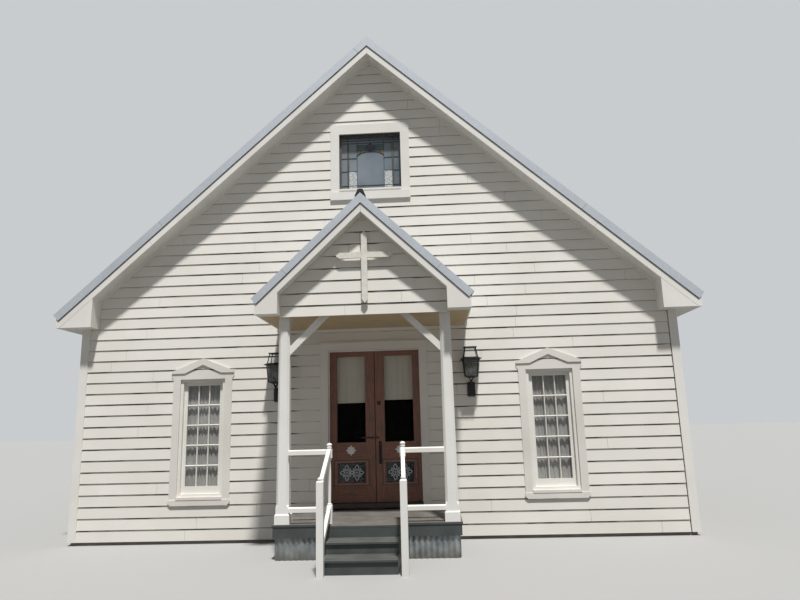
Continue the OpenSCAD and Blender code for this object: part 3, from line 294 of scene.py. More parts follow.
def painted_wood(name, colour, shade, along=0):
    """Paint brushed on planed boards: grain shows along one axis, and the coat dulls in patches."""
    made, tree, shader, place = finish(name, 0.55)
    stretch = [95.0, 95.0, 95.0]
    stretch[along] = 5.0
    drawn = add(tree, "Mapping", {"Vector": place, "Scale": stretch})
    grain = add(tree, "TexNoise", {"Vector": drawn, "Scale": 1.0, "Detail": 4.0, "Distortion": 0.4})
    patches = add(tree, "TexNoise", {"Vector": place, "Scale": 1.3, "Detail": 5.0})
    specks = add(tree, "TexNoise", {"Vector": place, "Scale": 45.0, "Detail": 2.0})
    coat = add(tree, "ValToRGB", {0: patches}, stops=((0.32, shade), (0.62, colour)))
    fleck = add(tree, "MapRange", {"Value": specks, "From Min": 0.74, "From Max": 0.80, "To Max": 0.45})
    soiled = add(tree, "MixRGB", {"Fac": fleck, "Color1": coat, "Color2": linear("#8F887B")})
    gloss = add(tree, "MapRange", {"Value": patches, "To Min": 0.48, "To Max": 0.68})
    feed(tree, shader, soiled, grain, 0.0009, gloss, 0.45)
    return made, tree, shader, place, soiled


def siding_paint(name, along, first, roof=None, porch=None, faint_laps_in_shade=0.3):
    """Cream paint that varies from board to board, darkened under the edge of each board above:
    partly dirt, partly a painted shadow.

    Under the slopes of a roof, given by apex and angle, and behind a porch, given by half width
    and height, the wall is taken to lie in shade, and the painted shadow there is kept faint."""
    made, tree, shader, place, coat = painted_wood(name, "#E6E1D7", "#DDD8CD", along)
    height = add(tree, "SeparateXYZ", {0: place}, out="Z")
    above = add(tree, "Math", {0: height, 1: first}, operation="SUBTRACT")
    course = add(tree, "Math", {0: above, 1: exposure}, operation="DIVIDE")
    share = add(tree, "Math", {0: course}, operation="FRACT")
    number = add(tree, "Math", {0: course}, operation="FLOOR")
    tone = add(tree, "TexWhiteNoise", {"W": number}, noise_dimensions="1D")
    fade = add(tree, "MapRange", {"Value": tone, "To Max": 0.35})
    boards = add(tree, "MixRGB", {"Fac": fade, "Color1": coat, "Color2": linear("#D3CFC5")})
    bowed = add(tree, "Mapping", {"Vector": place, "Scale": (2.9, 2.9, 9.0)})
    waves = add(tree, "TexNoise", {"Vector": bowed, "Scale": 1.0, "Detail": 1.0})
    edge = add(tree, "MapRange", {"Value": waves, "From Min": 0.40, "From Max": 0.64,
                                  "To Min": 0.955, "To Max": 0.88})
    over = add(tree, "Math", {0: share, 1: edge}, operation="SUBTRACT")
    lap_dirt_and_shadow = add(tree, "MapRange", {"Value": over, "From Min": 0.0, "From Max": 0.02, "To Max": 0.95})
    # In shade the painted lap shadow is made fainter.
    if roof:
        apex, angle = roof
        sides = add(tree, "SeparateXYZ", {0: place})
        out = add(tree, "Math", {0: sides}, operation="ABSOLUTE")
        fall = add(tree, "Math", {0: out, 1: math.tan(angle), 2: height}, operation="MULTIPLY_ADD")
        near, far = roof_shade_band
        sunlit_wall_share = add(tree, "MapRange", {"Value": fall, "From Min": apex - near, "From Max": apex - far,
                                           "To Min": faint_laps_in_shade})
        lap_dirt_and_shadow = add(tree, "Math", {0: lap_dirt_and_shadow, 1: sunlit_wall_share}, operation="MULTIPLY")
    if porch:
        wide, tall = porch
        beside = add(tree, "MapRange", {"Value": out, "From Min": wide, "From Max": wide + porch_shade_edge})
        over = add(tree, "MapRange", {"Value": height, "From Min": tall, "From Max": tall + porch_shade_edge})
        outside = add(tree, "Math", {0: beside, 1: over}, operation="MAXIMUM")
        outside = add(tree, "MapRange", {"Value": outside, "To Min": faint_laps_in_shade})
        lap_dirt_and_shadow = add(tree, "Math", {0: lap_dirt_and_shadow, 1: outside}, operation="MULTIPLY")
    # Dark under each upper board: partly dirt, partly a painted shadow.
    lap_dirt_and_shadow_tone = add(tree, "ValToRGB", {0: waves}, stops=((0.40, "#3E362E"), (0.58, "#191715")))
    dark = add(tree, "MixRGB", {"Fac": lap_dirt_and_shadow, "Color1": boards, "Color2": lap_dirt_and_shadow_tone})
    tree.links.new(dark, shader.inputs["Base Color"])
    return made


def prism(bm, points, push):
    """A solid pushed out from a flat outline."""
    face = bm.faces.new([bm.verts.new(p) for p in points])
    made = bmesh.ops.extrude_face_region(bm, geom=[face])["geom"]
    bmesh.ops.translate(bm, verts=[v for v in made if isinstance(v, bmesh.types.BMVert)], vec=push)


def lap_board(bm, x0, x1, low, high, course_low):
    """One siding board, or the part of it beside an opening."""
    lean = (lap_out - lap_in) / exposure
    face_low = lap_out - (low - course_low) * lean
    face_high = lap_out - (high - course_low) * lean
    outline = [(-face_high, high), (-face_low, low)]
    if low - course_low < hair and high - low > smallest_lap:
        outline += [(-face_low + butt, low), (-face_low + butt, low + tuck), (0, low + tuck)]
    else:
        outline += [(0, low)]
    prism(bm, [(x0, y, z) for y, z in outline + [(0, high)]], (x1 - x0, 0, 0))


def clad(x0, x1, z0, z1, first, holes, seed):
    """All courses of one wall, round its openings, on the plane Y = 0 with the weather side at -Y."""
    bm, draw = bmesh.new(), random.Random(seed)
    course = first
    while course < z1 - smallest_part:
        top = course + exposure
        joints = [x0 + draw.uniform(*first_joint)]
        while joints[-1] < x1:
            joints.append(joints[-1] + draw.choice(board_lengths))
        bottom, limit = max(course, z0), min(top, z1)
        cuts = {z for hole in holes for z in hole[2:] if bottom < z < limit}
        levels = sorted({bottom, limit} | cuts)
        for low, high in zip(levels, levels[1:]):
            spans = [(x0, x1)]
            for hx0, hx1, hz0, hz1 in holes:
                if hz0 < (low + high) / 2 < hz1:
                    parts = [part for a, b in spans for part in ((a, min(b, hx0)), (max(a, hx1), b))]
                    spans = [part for part in parts if part[1] - part[0] > smallest_part]
            for a, b in spans:
                marks = [a] + [j for j in joints if a + joint_clear < j < b - joint_clear] + [b]
                for left, right in zip(marks, marks[1:]):
                    start = left + (joint_gap if left != a else 0)
                    end = right - (joint_gap if right != b else 0)
                    lap_board(bm, start, end, low, high, course)
        course = top
    return bm


def cut(bm, place, normal, **more):
    """Cuts the whole mesh along a plane and returns what lies in the cut."""
    whole = bm.verts[:] + bm.edges[:] + bm.faces[:]
    made = bmesh.ops.bisect_plane(bm, geom=whole, dist=hair, plane_co=place, plane_no=normal, **more)
    return made["geom_cut"]


def trim_to_slopes(bm, roof):
    """Cuts the ends of boards along both slopes of a gable and closes the cuts."""
    apex, angle = roof
    for side in (-1, 1):
        slope = (side * math.sin(angle), 0, math.cos(angle))
        made = cut(bm, (0, 0, apex - slope_gap), slope, clear_outer=True)
        bmesh.ops.holes_fill(bm, edges=[e for e in made if isinstance(e, bmesh.types.BMEdge)])


wall_length = back_wall_y - wall_y
wall_t, windows_a_side = 0.165, 3
side_step = (wall_length - 2 * wall_t) / windows_a_side
side_windows = [wall_t + (i + 0.5) * side_step for i in range(windows_a_side)]
window_half, window_x, sill_z, head_z = 0.368, 2.798, 0.702, 2.552
under_casing, under_sill = 0.05, 0.08


def window_hole(x):
    """The part of the siding left out at a window, hidden under its casings."""
    return (x - window_half - under_casing, x + window_half + under_casing,
            sill_z - under_sill, head_z + under_casing)


attic_low, attic_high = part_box("attic_casing")
deck_low, deck_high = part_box("porch_deck")
# The last pair is the half width and height of the wall in the porch's shade, where the painted lap shadow is
# faint.
door_reach, under_head, porch_shade_area = 0.80, 0.08, (1.2, 3.3)
door_hole = (-door_reach, door_reach, 0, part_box("door_casing")[1].z - under_head)
deck_hole = (deck_low.x, deck_high.x, 0, deck_high.z)
attic_hole = (attic_low.x + 0.06, attic_high.x - 0.06, attic_low.z + 0.08, attic_high.z - 0.07)
front_windows = [window_hole(-window_x), window_hole(window_x)]
siding_front = siding_paint("siding_paint_front", 0, wall_low, main_roof, porch_shade_area)
siding_back = siding_paint("siding_paint_back", 0, wall_low, main_roof)
siding_side = siding_paint("siding_paint_sides", 1, wall_low)

# The boards stop short of the right corner board, so the dark lining shows in a gap beside it: a
# painted shadow of the corner board.
corner_w, corner_shadow_gap = 0.102, 0.013
corner_shadow_hole = (half_w - corner_w - corner_shadow_gap, half_w - corner_w, 0, apex_z)
front_holes = front_windows + [door_hole, deck_hole, attic_hole, corner_shadow_hole]
front_bm = clad(-half_w, half_w, wall_low, apex_z, wall_low, front_holes, seed=11)
trim_to_slopes(front_bm, main_roof)
bmesh.ops.translate(front_bm, verts=front_bm.verts, vec=(0, wall_y, 0))
piece("front_siding", front_bm, siding_front)

back_bm = clad(-half_w, half_w, wall_low, apex_z, wall_low, front_windows, seed=12)
trim_to_slopes(back_bm, main_roof)
back_bm.transform(Matrix.Translation((0, back_wall_y, 0)) @ Matrix.Rotation(math.pi, 4, "Z"))
piece("back_siding", back_bm, siding_back)

soffit_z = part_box("eave_boxes")[0].z
side_holes = [window_hole(y) for y in side_windows]
for side, sign, seed, start in (("right", 1, 13, wall_y), ("left", -1, 14, back_wall_y)):
    side_bm = clad(0, wall_length, wall_low, soffit_z, wall_low, side_holes, seed)
    turn = Matrix.Rotation(sign * math.pi / 2, 4, "Z")
    side_bm.transform(Matrix.Translation((sign * half_w, start, 0)) @ turn)
    piece(side + "_siding", side_bm, siding_side)


# Roof: rafters and sheathing painted white below, under ribbed sheets of galvalume steel, screwed
# down between the ribs, with bent ridge caps and rake trims.
trim_paint, *_ = painted_wood("trim_paint", "#E6E3DB", "#DDD9D0")
trim_paint_y, *_ = painted_wood("trim_paint_lengthwise", "#E6E3DB", "#DDD9D0", along=1)
dress(trim_paint_y, "roof_deck_left", "roof_deck_right", "porch_roof_deck")

galvalume, tree, shader, place = finish("galvalume_sheet", 0.7, Metallic=0.45)
spangle = add(tree, "TexVoronoi", {"Vector": place, "Scale": 60.0, "Randomness": 1.0}, out="Color")
streaks = add(tree, "TexNoise", {"Vector": place, "Scale": 1.6, "Detail": 6.0})
crystal = add(tree, "SeparateColor", {0: spangle})
flakes = add(tree, "ValToRGB", {0: crystal}, stops=((0.0, "#A8AEB5"), (1.0, "#BABFC4")))
weather = add(tree, "ValToRGB", {0: streaks}, stops=((0.3, "#ADB1B5"), (0.7, "#C1C5C8")))
metal = add(tree, "MixRGB", {"Fac": 0.5, "Color1": flakes, "Color2": weather})
gloss = add(tree, "MapRange", {"Value": streaks, "To Min": 0.66, "To Max": 0.80})
feed(tree, shader, metal, spangle.node.outputs["Distance"], 0.0002, gloss, 0.25)
dress(galvalume, "roof_metal", "ridge_caps", "rake_trims", "porch_roof_metal")


def on_slope(roof, side, run, rise, y):
    """A place on a roof slope: run down from the ridge, rise square to the slope."""
    apex, angle = roof
    return Vector((side * (run * math.cos(angle) + rise * math.sin(angle)), y,
                   apex - run * math.sin(angle) + rise * math.cos(angle)))


washer, screw_head = (0.0085, 0.0, 0.003), (0.0055, 0.003, 0.006)


def screw_rows(bm, roof, rise, runs, ys):
    """Hexagon screw heads on washers, each by radius, foot and height, square to both slopes."""
    for side in (-1, 1):
        tilt = Matrix.Rotation(side * roof[1], 4, "Y")
        for run in runs:
            for y in ys:
                for radius, low, tall in (washer, screw_head):
                    centre = on_slope(roof, side, run, rise + low + tall / 2, y)
                    bmesh.ops.create_cone(
                        bm, cap_ends=True, segments=6, radius1=radius, radius2=radius * 0.9,
                        depth=tall, matrix=Matrix.Translation(centre) @ tilt)


zinc = mottled("zinc_plated_screws", 0.45, 9.0, 2.0, ((0.3, "#85898C"), (0.7, "#A3A8AB")), 0.0003,
               Metallic=1.0)
rib_margin, rib_step, porch_rib_step = 0.0955, 0.229, 0.2375
roof_top, porch_top = 0.2098, 0.1778
porch_roof = porch_apex_z, porch_slope = 4.7493, math.radians(43.9)
roof_front_y, porch_front_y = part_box("roof_metal")[0].y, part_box("porch_roof_metal")[0].y
pans, porch_pans = 55, 6
purlin_runs, porch_purlin_runs = [0.35 + 0.78 * i for i in range(9)], [0.3, 1.1, 1.85]
screw_bm = bmesh.new()
pan_ys = [roof_front_y + rib_margin + rib_step * (i + 0.5) for i in range(pans)]
screw_rows(screw_bm, main_roof, roof_top, purlin_runs, pan_ys)
pan_ys = [porch_front_y + rib_margin + porch_rib_step * (i + 0.5) for i in range(porch_pans)]
screw_rows(screw_bm, porch_roof, porch_top, porch_purlin_runs, pan_ys)
piece("roof_screws", screw_bm, zinc)


# Closures: a strip of black foam under each rake trim's hem stands in for the shadow in the crack
# between hem and board: a painted shadow. A shaped black foam plug closes the front end of the
# porch ridge cap.
def chevron(roof, rise0, rise1, run, y):
    """V outline between two distances above a roof's underside, down to the same run both sides."""
    right = [on_slope(roof, 1, run, rise, y) for rise in (rise0, rise1)]
    left = [on_slope(roof, -1, run, rise, y) for rise in (rise1, rise0)]
    ridge = [Vector((0, y, roof[0] + rise / math.cos(roof[1]))) for rise in (rise0, rise1)]
    return [ridge[0], *right, ridge[1], *left]


black_foam_and_shadow = mottled("black_foam_and_painted_shadow", 0.8, 120.0, 2.0, ((0.3, "#0F0F0F"), (0.7, "#232222")), 0.001)
rake_overhang, trim_proud, hem_gap = 0.298, 0.013, 0.008
board_show, porch_board_show = 0.106, 0.096
main_run, porch_run = 6.878, 1.977
closure_bm = bmesh.new()
shadow_strip_thick = trim_proud - 0.002
gables = ((main_roof, board_show, main_run, wall_y - rake_overhang - shadow_strip_thick),
          (main_roof, board_show, main_run, back_wall_y + rake_overhang),
          (porch_roof, porch_board_show, porch_run, porch_front_y - shadow_strip_thick))
# Each strip is black to stand for the shade under a trim's hem: a painted shadow.
for roof, show, run, y in gables:
    prism(closure_bm, chevron(roof, show - hem_gap, show, run, y), (0, shadow_strip_thick, 0))
porch_cap, plug_proud, plug_long = 0.2070, 0.008, 0.075
cap_z = porch_apex_z + porch_cap / math.cos(porch_slope)
plug = [(0, 0.055), (-0.035, 0.048), (-0.080, -0.055), (0, 0.010), (0.080, -0.055), (0.040, 0.045)]
prism(closure_bm, [(x, porch_front_y - plug_proud, cap_z + z) for x, z in plug], (0, plug_long, 0))
piece("roof_closures_and_shadow_strips", closure_bm, black_foam_and_shadow)


# Trim boards: planed and painted pine on the rakes, returns, eaves and corners. The casings have
# an older, warmer coat. Thin lines of caulk show where boards meet end to end.
casing_paint, *_ = painted_wood("casing_paint", "#DED9D0", "#D3CDC4")
frame_paint, *_ = painted_wood("sash_paint", "#E2DFD7", "#D8D4CB", along=2)
dress(trim_paint, "rake_boards", "cornice_returns", "gable_mouldings", "corner_boards",
      "attic_casing", "door_frame", "porch_braces", "porch_rails")
dress(casing_paint, "window_casings", "window_sills", "door_casing")
dress(trim_paint_y, "eave_boxes", "porch_eaves")
dress(frame_paint, "window_frames")


def strip(bm, points, wide, y0, y1):
    """A flat strip along a line of X and Z points, one block to a stretch."""
    for (xa, za), (xb, zb) in zip(points, points[1:]):
        length, angle = math.hypot(xb - xa, zb - za), math.atan2(zb - za, xb - xa)
        centre = Matrix.Translation(((xa + xb) / 2, (y0 + y1) / 2, (za + zb) / 2))
        size = Matrix.Diagonal((length + wide * 0.4, y1 - y0, wide, 1))
        bmesh.ops.create_cube(bm, size=1, matrix=centre @ Matrix.Rotation(-angle, 4, "Y") @ size)


def cross_line(roof, side, run, rise0, rise1):
    """Two X and Z points of a line square to the slope."""
    ends = [on_slope(roof, side, run, rise, 0) for rise in (rise0, rise1)]
    return [(end.x, end.z) for end in ends]


caulk = mottled("dirty_joint_caulk", 0.8, 30.0, 3.0, ((0.3, "#6F6A62"), (0.7, "#97928A")), 0.0004)
return_joint = ((4.599, 3.915), (5.127, 3.433))
rake_joint_run = 4.93
joint_bm = bmesh.new()
main_face, joint_wide, seam_wide = wall_y - rake_overhang, 0.003, 0.004
caulk_proud, caulk_deep, seam_proud, seam_deep = 0.0006, 0.002, 0.0008, 0.001
for side in (-1, 1):
    joints = [cross_line(main_roof, side, rake_joint_run, 0.002, board_show - hem_gap)]
    joints.append([(side * x, z) for x, z in return_joint])
    for joint in joints:
        strip(joint_bm, joint, joint_wide, main_face - caulk_proud, main_face + caulk_deep)
main_rake = (main_roof, board_show, 0.229, main_face)
porch_rake = (porch_roof, porch_board_show, 0.197, porch_front_y)
for (apex, angle), show, _, y in (main_rake, porch_rake):
    ridge_joint = [(0, apex + 0.003), (0, apex + (show - hem_gap) / math.cos(angle))]
    strip(joint_bm, ridge_joint, joint_wide, y - caulk_proud, y + caulk_deep)
for rake, side, run in ((main_rake, -1, 0.103), (main_rake, -1, 4.6), (main_rake, 1, 4.6),
                        (porch_rake, -1, 1.382), (porch_rake, 1, 1.382)):
    roof, low, high, y = rake
    face = y - trim_proud
    strip(joint_bm, cross_line(roof, side, run, low, high), seam_wide, face - seam_proud, face + seam_deep)
piece("board_joints", joint_bm, caulk)


# Windows: fixed wood sashes with three by five panes. The bars are 22 mm wide, moulded on the
# outside and puttied, and hold thin float glass.
sash_w, sash_foot, panes_across, panes_up = 0.102, 0.158, 3, 5
bars_x0, bars_x1 = -window_half + sash_w, window_half - sash_w
bars_z0, bars_z1 = sill_z + sash_foot, head_z - sash_w


def window_places():
    """Where each window stands: a matrix from the front wall's middle."""
    places = []
    for x in (-window_x, window_x):
        places.append(Matrix.Translation((x, wall_y, 0)))
        places.append(Matrix.Translation((x, back_wall_y, 0)) @ Matrix.Rotation(math.pi, 4, "Z"))
    for y in side_windows:
        for sign in (1, -1):
            turn = Matrix.Rotation(sign * math.pi / 2, 4, "Z")
            places.append(Matrix.Translation((sign * half_w, wall_y + y, 0)) @ turn)
    return places


def bar_outline(middle):
    """Section of a glazing bar: a nose 8 mm wide on the outside, and 22 mm wide at the glass."""
    return [(middle - 0.011, 0.072), (middle - 0.011, 0.066), (middle - 0.004, 0.054),
            (middle + 0.004, 0.054), (middle + 0.011, 0.066), (middle + 0.011, 0.072),
            (middle + 0.006, 0.092), (middle - 0.006, 0.092)]


def stamp(bm, part, places):
    """Copies a small mesh into a larger one, once at each place."""
    mesh = bpy.data.meshes.new("stamp")
    part.to_mesh(mesh)
    part.free()
    for matrix in places:
        before = len(bm.verts)
        bm.from_mesh(mesh)
        bm.verts.ensure_lookup_table()
        bmesh.ops.transform(bm, matrix=matrix, verts=bm.verts[before:])
    bpy.data.meshes.remove(mesh)


grid_bm, bars_bm = bmesh.new(), bmesh.new()
for i in range(1, panes_across):
    x = bars_x0 + (bars_x1 - bars_x0) * i / panes_across
    prism(grid_bm, [(a, y, bars_z0) for a, y in bar_outline(x)], (0, 0, bars_z1 - bars_z0))
for i in range(1, panes_up):
    z = bars_z0 + (bars_z1 - bars_z0) * i / panes_up
    prism(grid_bm, [(bars_x0, y, a) for a, y in bar_outline(z)], (bars_x1 - bars_x0, 0, 0))
stamp(bars_bm, grid_bm, window_places())
piece("window_bars", bars_bm, frame_paint)

# Float glass, thin and clean. It is shown as a thin grey film, so that the daylight still reaches what
# is behind; the film's grey is a painted dim reflection.
dress(mottled("float_glass", 0.04, 2.5, 1.0, ((0.3, "#30373B"), (0.7, "#454D51")), 0.004, 0.15,
              Alpha=0.23), "window_glass")


# Curtains: unlined pale linen, gathered to about four fifths of its width and clipped to a thin
# steel rod inside each window. Each hangs free in even soft folds.
linen = mottled("washed_linen", 0.92, 2.5, 3.0, ((0.3, "#D0CDC5"), (0.7, "#E8E5DD")), 0.0008,
                grit=((260, 260, 40), 2.0), Sheen_Weight=0.2)
steel_rod = mottled("chromed_steel_rod", 0.25, 30.0, 2.0, ((0.3, "#9C9FA1"), (0.7, "#BABDBE")), 0.0002,
                    Metallic=1.0)

curtain_half, curtain_low, curtain_high = 0.317, sill_z + 0.060, head_z - 0.047
curtain_y, rod_y, rod_drop, rod_radius, rod_length = 0.121, 0.140, 0.012, 0.005, 0.646
folds, fold_depth = 11, 0.0125
rods_bm = bmesh.new()
for matrix in window_places():
    middle = matrix @ Matrix.Translation((0, rod_y, curtain_high - rod_drop))
    bmesh.ops.create_cone(rods_bm, cap_ends=True, segments=12, radius1=rod_radius, radius2=rod_radius,
                          depth=rod_length, matrix=middle @ Matrix.Rotation(math.pi / 2, 4, "Y"))
curtain_rods = piece("curtain_rods", rods_bm, steel_rod, smooth=True)


def gathered(x0, x1, z0, z1, y, folds, depth, seed):
    """A hanging cloth with uneven vertical folds that drift a little on their way down."""
    draw = random.Random(seed)
    phases = [draw.uniform(0, 2 * math.pi) for _ in range(5)]
    bm = bmesh.new()
    bmesh.ops.create_grid(bm, x_segments=folds * 12, y_segments=16, size=0.5)
    for v in bm.verts:
        u, down = v.co.x + 0.5, 0.5 - v.co.y
        turn = folds * u + 0.28 * math.sin(2 * math.pi * 1.3 * u + phases[0])
        turn += 0.16 * math.sin(2 * math.pi * 3.1 * u + phases[1])
        turn += 0.10 * down * math.sin(2 * math.pi * 1.7 * u + phases[2])
        swell = 0.78 + 0.22 * math.sin(2 * math.pi * 2.3 * u + phases[3] + down)
        wave = y + depth * swell * (1 - 2 * abs(math.sin(math.pi * turn + phases[4])))
        v.co = Vector((x0 + (x1 - x0) * u, wave, z1 + (z0 - z1) * down))
    return bm


for i, matrix in enumerate(window_places()):
    cloth_bm = gathered(-curtain_half, curtain_half, curtain_low, curtain_high, curtain_y,
                        folds, fold_depth, 40 + i)
    cloth_bm.transform(matrix)
    area = sum(f.calc_area() for f in cloth_bm.faces)
    curtain = piece("curtain_%02d" % (i + 1), cloth_bm, linen, smooth=True)
    if i == 0:
        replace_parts(curtain, "window_curtains")


# Attic window: a leaded light in a cedar frame. Faces turned sideways show the orange stain, brightened
# as painted light; the other faces are weathered grey, darkened as painted shade. Lead cames hold clear,
# hammered, green and amber glass under a shallow arch, with a violet diamond.
cedar, tree, shader, place = finish("weathered_cedar_frame", 0.6)
drawn = add(tree, "Mapping", {"Vector": place, "Scale": (70, 70, 9)})
grain = add(tree, "TexNoise", {"Vector": drawn, "Scale": 1.0, "Detail": 4.0})
stained = add(tree, "ValToRGB", {0: grain}, stops=((0.3, "#B06E40"), (0.7, "#D8A070")))
grey_and_painted_shade = add(tree, "ValToRGB", {0: grain}, stops=((0.3, "#34383A"), (0.7, "#585C5F")))
normal = add(tree, "NewGeometry", out="Normal")
# Faces that point along X get the stain as painted light, the rest the grey with painted shade.
side_part = add(tree, "Math", {0: add(tree, "SeparateXYZ", {0: normal})}, operation="ABSOLUTE")
lit_side_faces = add(tree, "Math", {0: side_part, 1: 0.5}, operation="GREATER_THAN")
wood = add(tree, "MixRGB", {"Fac": lit_side_faces, "Color1": grey_and_painted_shade, "Color2": stained})
feed(tree, shader, wood, grain, 0.0006)
dress(cedar, "attic_frame")

lead = mottled("lead_cames", 0.55, 40.0, 3.0, ((0.3, "#2B2E30"), (0.7, "#45494B")), 0.0006, Metallic=0.6)


def coloured_glass(name, dark, light, alpha, relief, scale=38.0, streaks=5.0):
    """Cathedral glass: colour in the pane, streaked, with a hammered or rolled face."""
    made, tree, shader, place = finish(name, 0.12, Alpha=alpha)
    streak = add(tree, "TexNoise", {"Vector": place, "Scale": streaks, "Detail": 3.0})
    dimples = add(tree, "TexVoronoi", {"Vector": place, "Scale": scale}, feature="SMOOTH_F1")
    tone = add(tree, "ValToRGB", {0: streak}, stops=((0.3, dark), (0.7, light)))
    feed(tree, shader, tone, dimples, relief, strength=0.6)
    return made


# The clear pane is drawn nearly opaque in streaked blue grey, partly a painted reflection and partly the
# painted shade of the attic behind. The hammered panes' pale specks are painted glints.
clear_light = coloured_glass("clear_attic_glass", "#5D6971", "#8A959B", 0.88, 0.001, 4.0, 1.3)
hammered = coloured_glass("hammered_glass", "#6D767A", "#F0F3F3", 0.95, 0.006, 38.0, 45.0)
green_glass = coloured_glass("green_cathedral_glass", "#38544A", "#56736A", 0.92, 0.002)
amber_glass = coloured_glass("amber_cathedral_glass", "#5D5538", "#857A52", 0.92, 0.002)
violet_glass = coloured_glass("violet_cathedral_glass", "#22203A", "#37334F", 0.95, 0.002)

light_half, light_low, light_tall = 0.503, 5.756, 0.954
light_y, came_wide = wall_y + 0.095, 0.008


def at_light(u, v):
    """A place on the attic light: u from -1 at the left edge to 1, v from 0 at the foot to 1."""
    return (u * light_half, light_low + v * light_tall)


def pane(bm, *corners):
    """A thin pane between corners given as u and v."""
    points = [at_light(u, v) for u, v in corners]
    prism(bm, [(x, light_y + 0.0015, z) for x, z in points], (0, 0.004, 0))


back_pane = bmesh.new()
box(back_pane, (-light_half, light_y + 0.006, light_low),
    (light_half, light_y + 0.011, light_low + light_tall))
ease(back_pane, 0.001)
attic_pane = piece("attic_clear_pane", back_pane, clear_light)
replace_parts(attic_pane, "attic_glass")

inner, strip_in, strip_out = 0.47, 0.755, 0.80
arch_foot, arch_rise, arch_turn = 0.648, 0.085, 1.25
textured_bm, green_bm, amber_bm, violet_bm = (bmesh.new() for _ in range(4))
for s in (-1, 1):
    pane(textured_bm, (s * inner, 0.0), (s * strip_in, 0.0), (s * strip_in, 0.352), (s * inner, 0.352))
    pane(amber_bm, (s * strip_in, 0.0), (s * strip_out, 0.0), (s * strip_out, 0.90), (s * strip_in, 0.90))
    pane(amber_bm, (s * inner, 0.66), (s * inner, 0.763), (s * 0.30, 0.763), (s * 0.38, 0.70))
    pane(green_bm, (s * inner, 0.763), (s * inner, 0.86), (s * 0.16, 0.86), (s * 0.20, 0.81),
         (s * 0.10, 0.763))
pane(violet_bm, (-0.20, 0.81), (0, 0.72), (0.20, 0.81), (0, 0.895))
for name, pane_bm, glass in (("hammered_panes", textured_bm, hammered),
                             ("green_panes", green_bm, green_glass),
                             ("amber_panes", amber_bm, amber_glass),
                             ("violet_pane", violet_bm, violet_glass)):
    piece("attic_" + name, pane_bm, glass)

arch = []
for i in range(13):
    a = arch_turn * (i / 6 - 1)
    rise = arch_rise * (math.cos(a) - math.cos(arch_turn)) / (1 - math.cos(arch_turn))
    arch.append((inner * math.sin(a) / math.sin(arch_turn), arch_foot + rise))
came_lines = [arch, [(-1, 0.95), (1, 0.95)], [(-1, 0.90), (1, 0.90)], [(-1, 0.074), (1, 0.074)],
              [(0, 0.90), (0, 1)], [(-inner, 0.763), (inner, 0.763)],
              [(-0.20, 0.81), (0, 0.72), (0.20, 0.81), (0, 0.895), (-0.20, 0.81)]]
for s in (-1, 1):
    came_lines += [[(s * 0.2, 0.815), (s * inner, 0.815)], [(s * 0.1, 0.86), (s * inner, 0.86)],
                   [(s * inner, 0), (s * inner, 0.95)], [(s * strip_in, 0), (s * strip_in, 0.90)],
                   [(s * strip_out, 0), (s * strip_out, 1)], [(s * inner, 0.352), (s, 0.352)],
                   [(s * inner, 0.607), (s, 0.607)], [(s * 0.38, 0.70), (s * 0.30, 0.763)]]
came_bm = bmesh.new()
for line in came_lines:
    strip(came_bm, [at_light(u, v) for u, v in line], came_wide, light_y - 0.001, light_y + 0.007)
piece("attic_cames", came_bm, lead)


# Entrance doors: a pair of framed and panelled leaves, 45 mm mahogany under an old dark varnish.
# The stiles run full height and the rails are tenoned between them, so their grain runs across.
stile_edge0, stile_edge1 = 0.147, 0.6255
leaf_front, leaf_back = wall_y + 0.115, wall_y + 0.160
mahogany, tree, shader, place = finish("varnished_mahogany", 0.42, Coat_Weight=0.15, Coat_Roughness=0.3)
from_middle = add(tree, "Math", {0: add(tree, "SeparateXYZ", {0: place})}, operation="ABSOLUTE")
past_inner = add(tree, "Math", {0: from_middle, 1: stile_edge0}, operation="GREATER_THAN")
before_outer = add(tree, "Math", {0: from_middle, 1: stile_edge1}, operation="LESS_THAN")
in_rail = add(tree, "Math", {0: past_inner, 1: before_outer}, operation="MULTIPLY")
upright_grain = add(tree, "Mapping", {"Vector": place, "Scale": (75, 75, 4)})
level_grain = add(tree, "Mapping", {"Vector": place, "Scale": (4, 75, 75)})
lie = add(tree, "MixRGB", {"Fac": in_rail, "Color1": upright_grain, "Color2": level_grain})
grain = add(tree, "TexNoise", {"Vector": lie, "Scale": 1.0, "Detail": 6.0, "Distortion": 1.2})
patches = add(tree, "TexNoise", {"Vector": place, "Scale": 3.0, "Detail": 4.0})
wood = add(tree, "ValToRGB", {0: grain}, stops=((0.30, "#402415"), (0.5, "#6D402A"), (0.70, "#905B41")))
worn = add(tree, "ValToRGB", {0: patches}, stops=((0.35, "#523222"), (0.65, "#80533E")))
aged = add(tree, "MixRGB", {"Fac": 0.35, "Color1": wood, "Color2": worn})
gloss = add(tree, "MapRange", {"Value": patches, "To Min": 0.32, "To Max": 0.6})
feed(tree, shader, aged, grain, 0.0006, gloss, 0.4)
dress(mahogany, "left_door", "right_door")

# Door glass: clear panes above, and small lower panes of slate glass with an etched lace pattern.
# Both look nearly black against the dark room.
dress(mottled("old_door_glass", 0.05, 4.0, 1.0, ((0.3, "#08090A"), (0.7, "#121518")), 0.004, 0.15,
              Alpha=0.1, Specular_IOR_Level=0.15), "left_door_glass", "right_door_glass")
slate_glass = coloured_glass("slate_glass", "#272C31", "#373F46", 0.97, 0.001, 12.0)
etched = mottled("acid_etched_glass", 0.8, 160.0, 2.0, ((0.3, "#C3CCD1"), (0.7, "#DDE3E5")), 0.0004)
lace_wide, lace_tall, lace_thread, lace_ring, lace_belly = 0.113, 0.127, 0.010, 0.042, 0.030


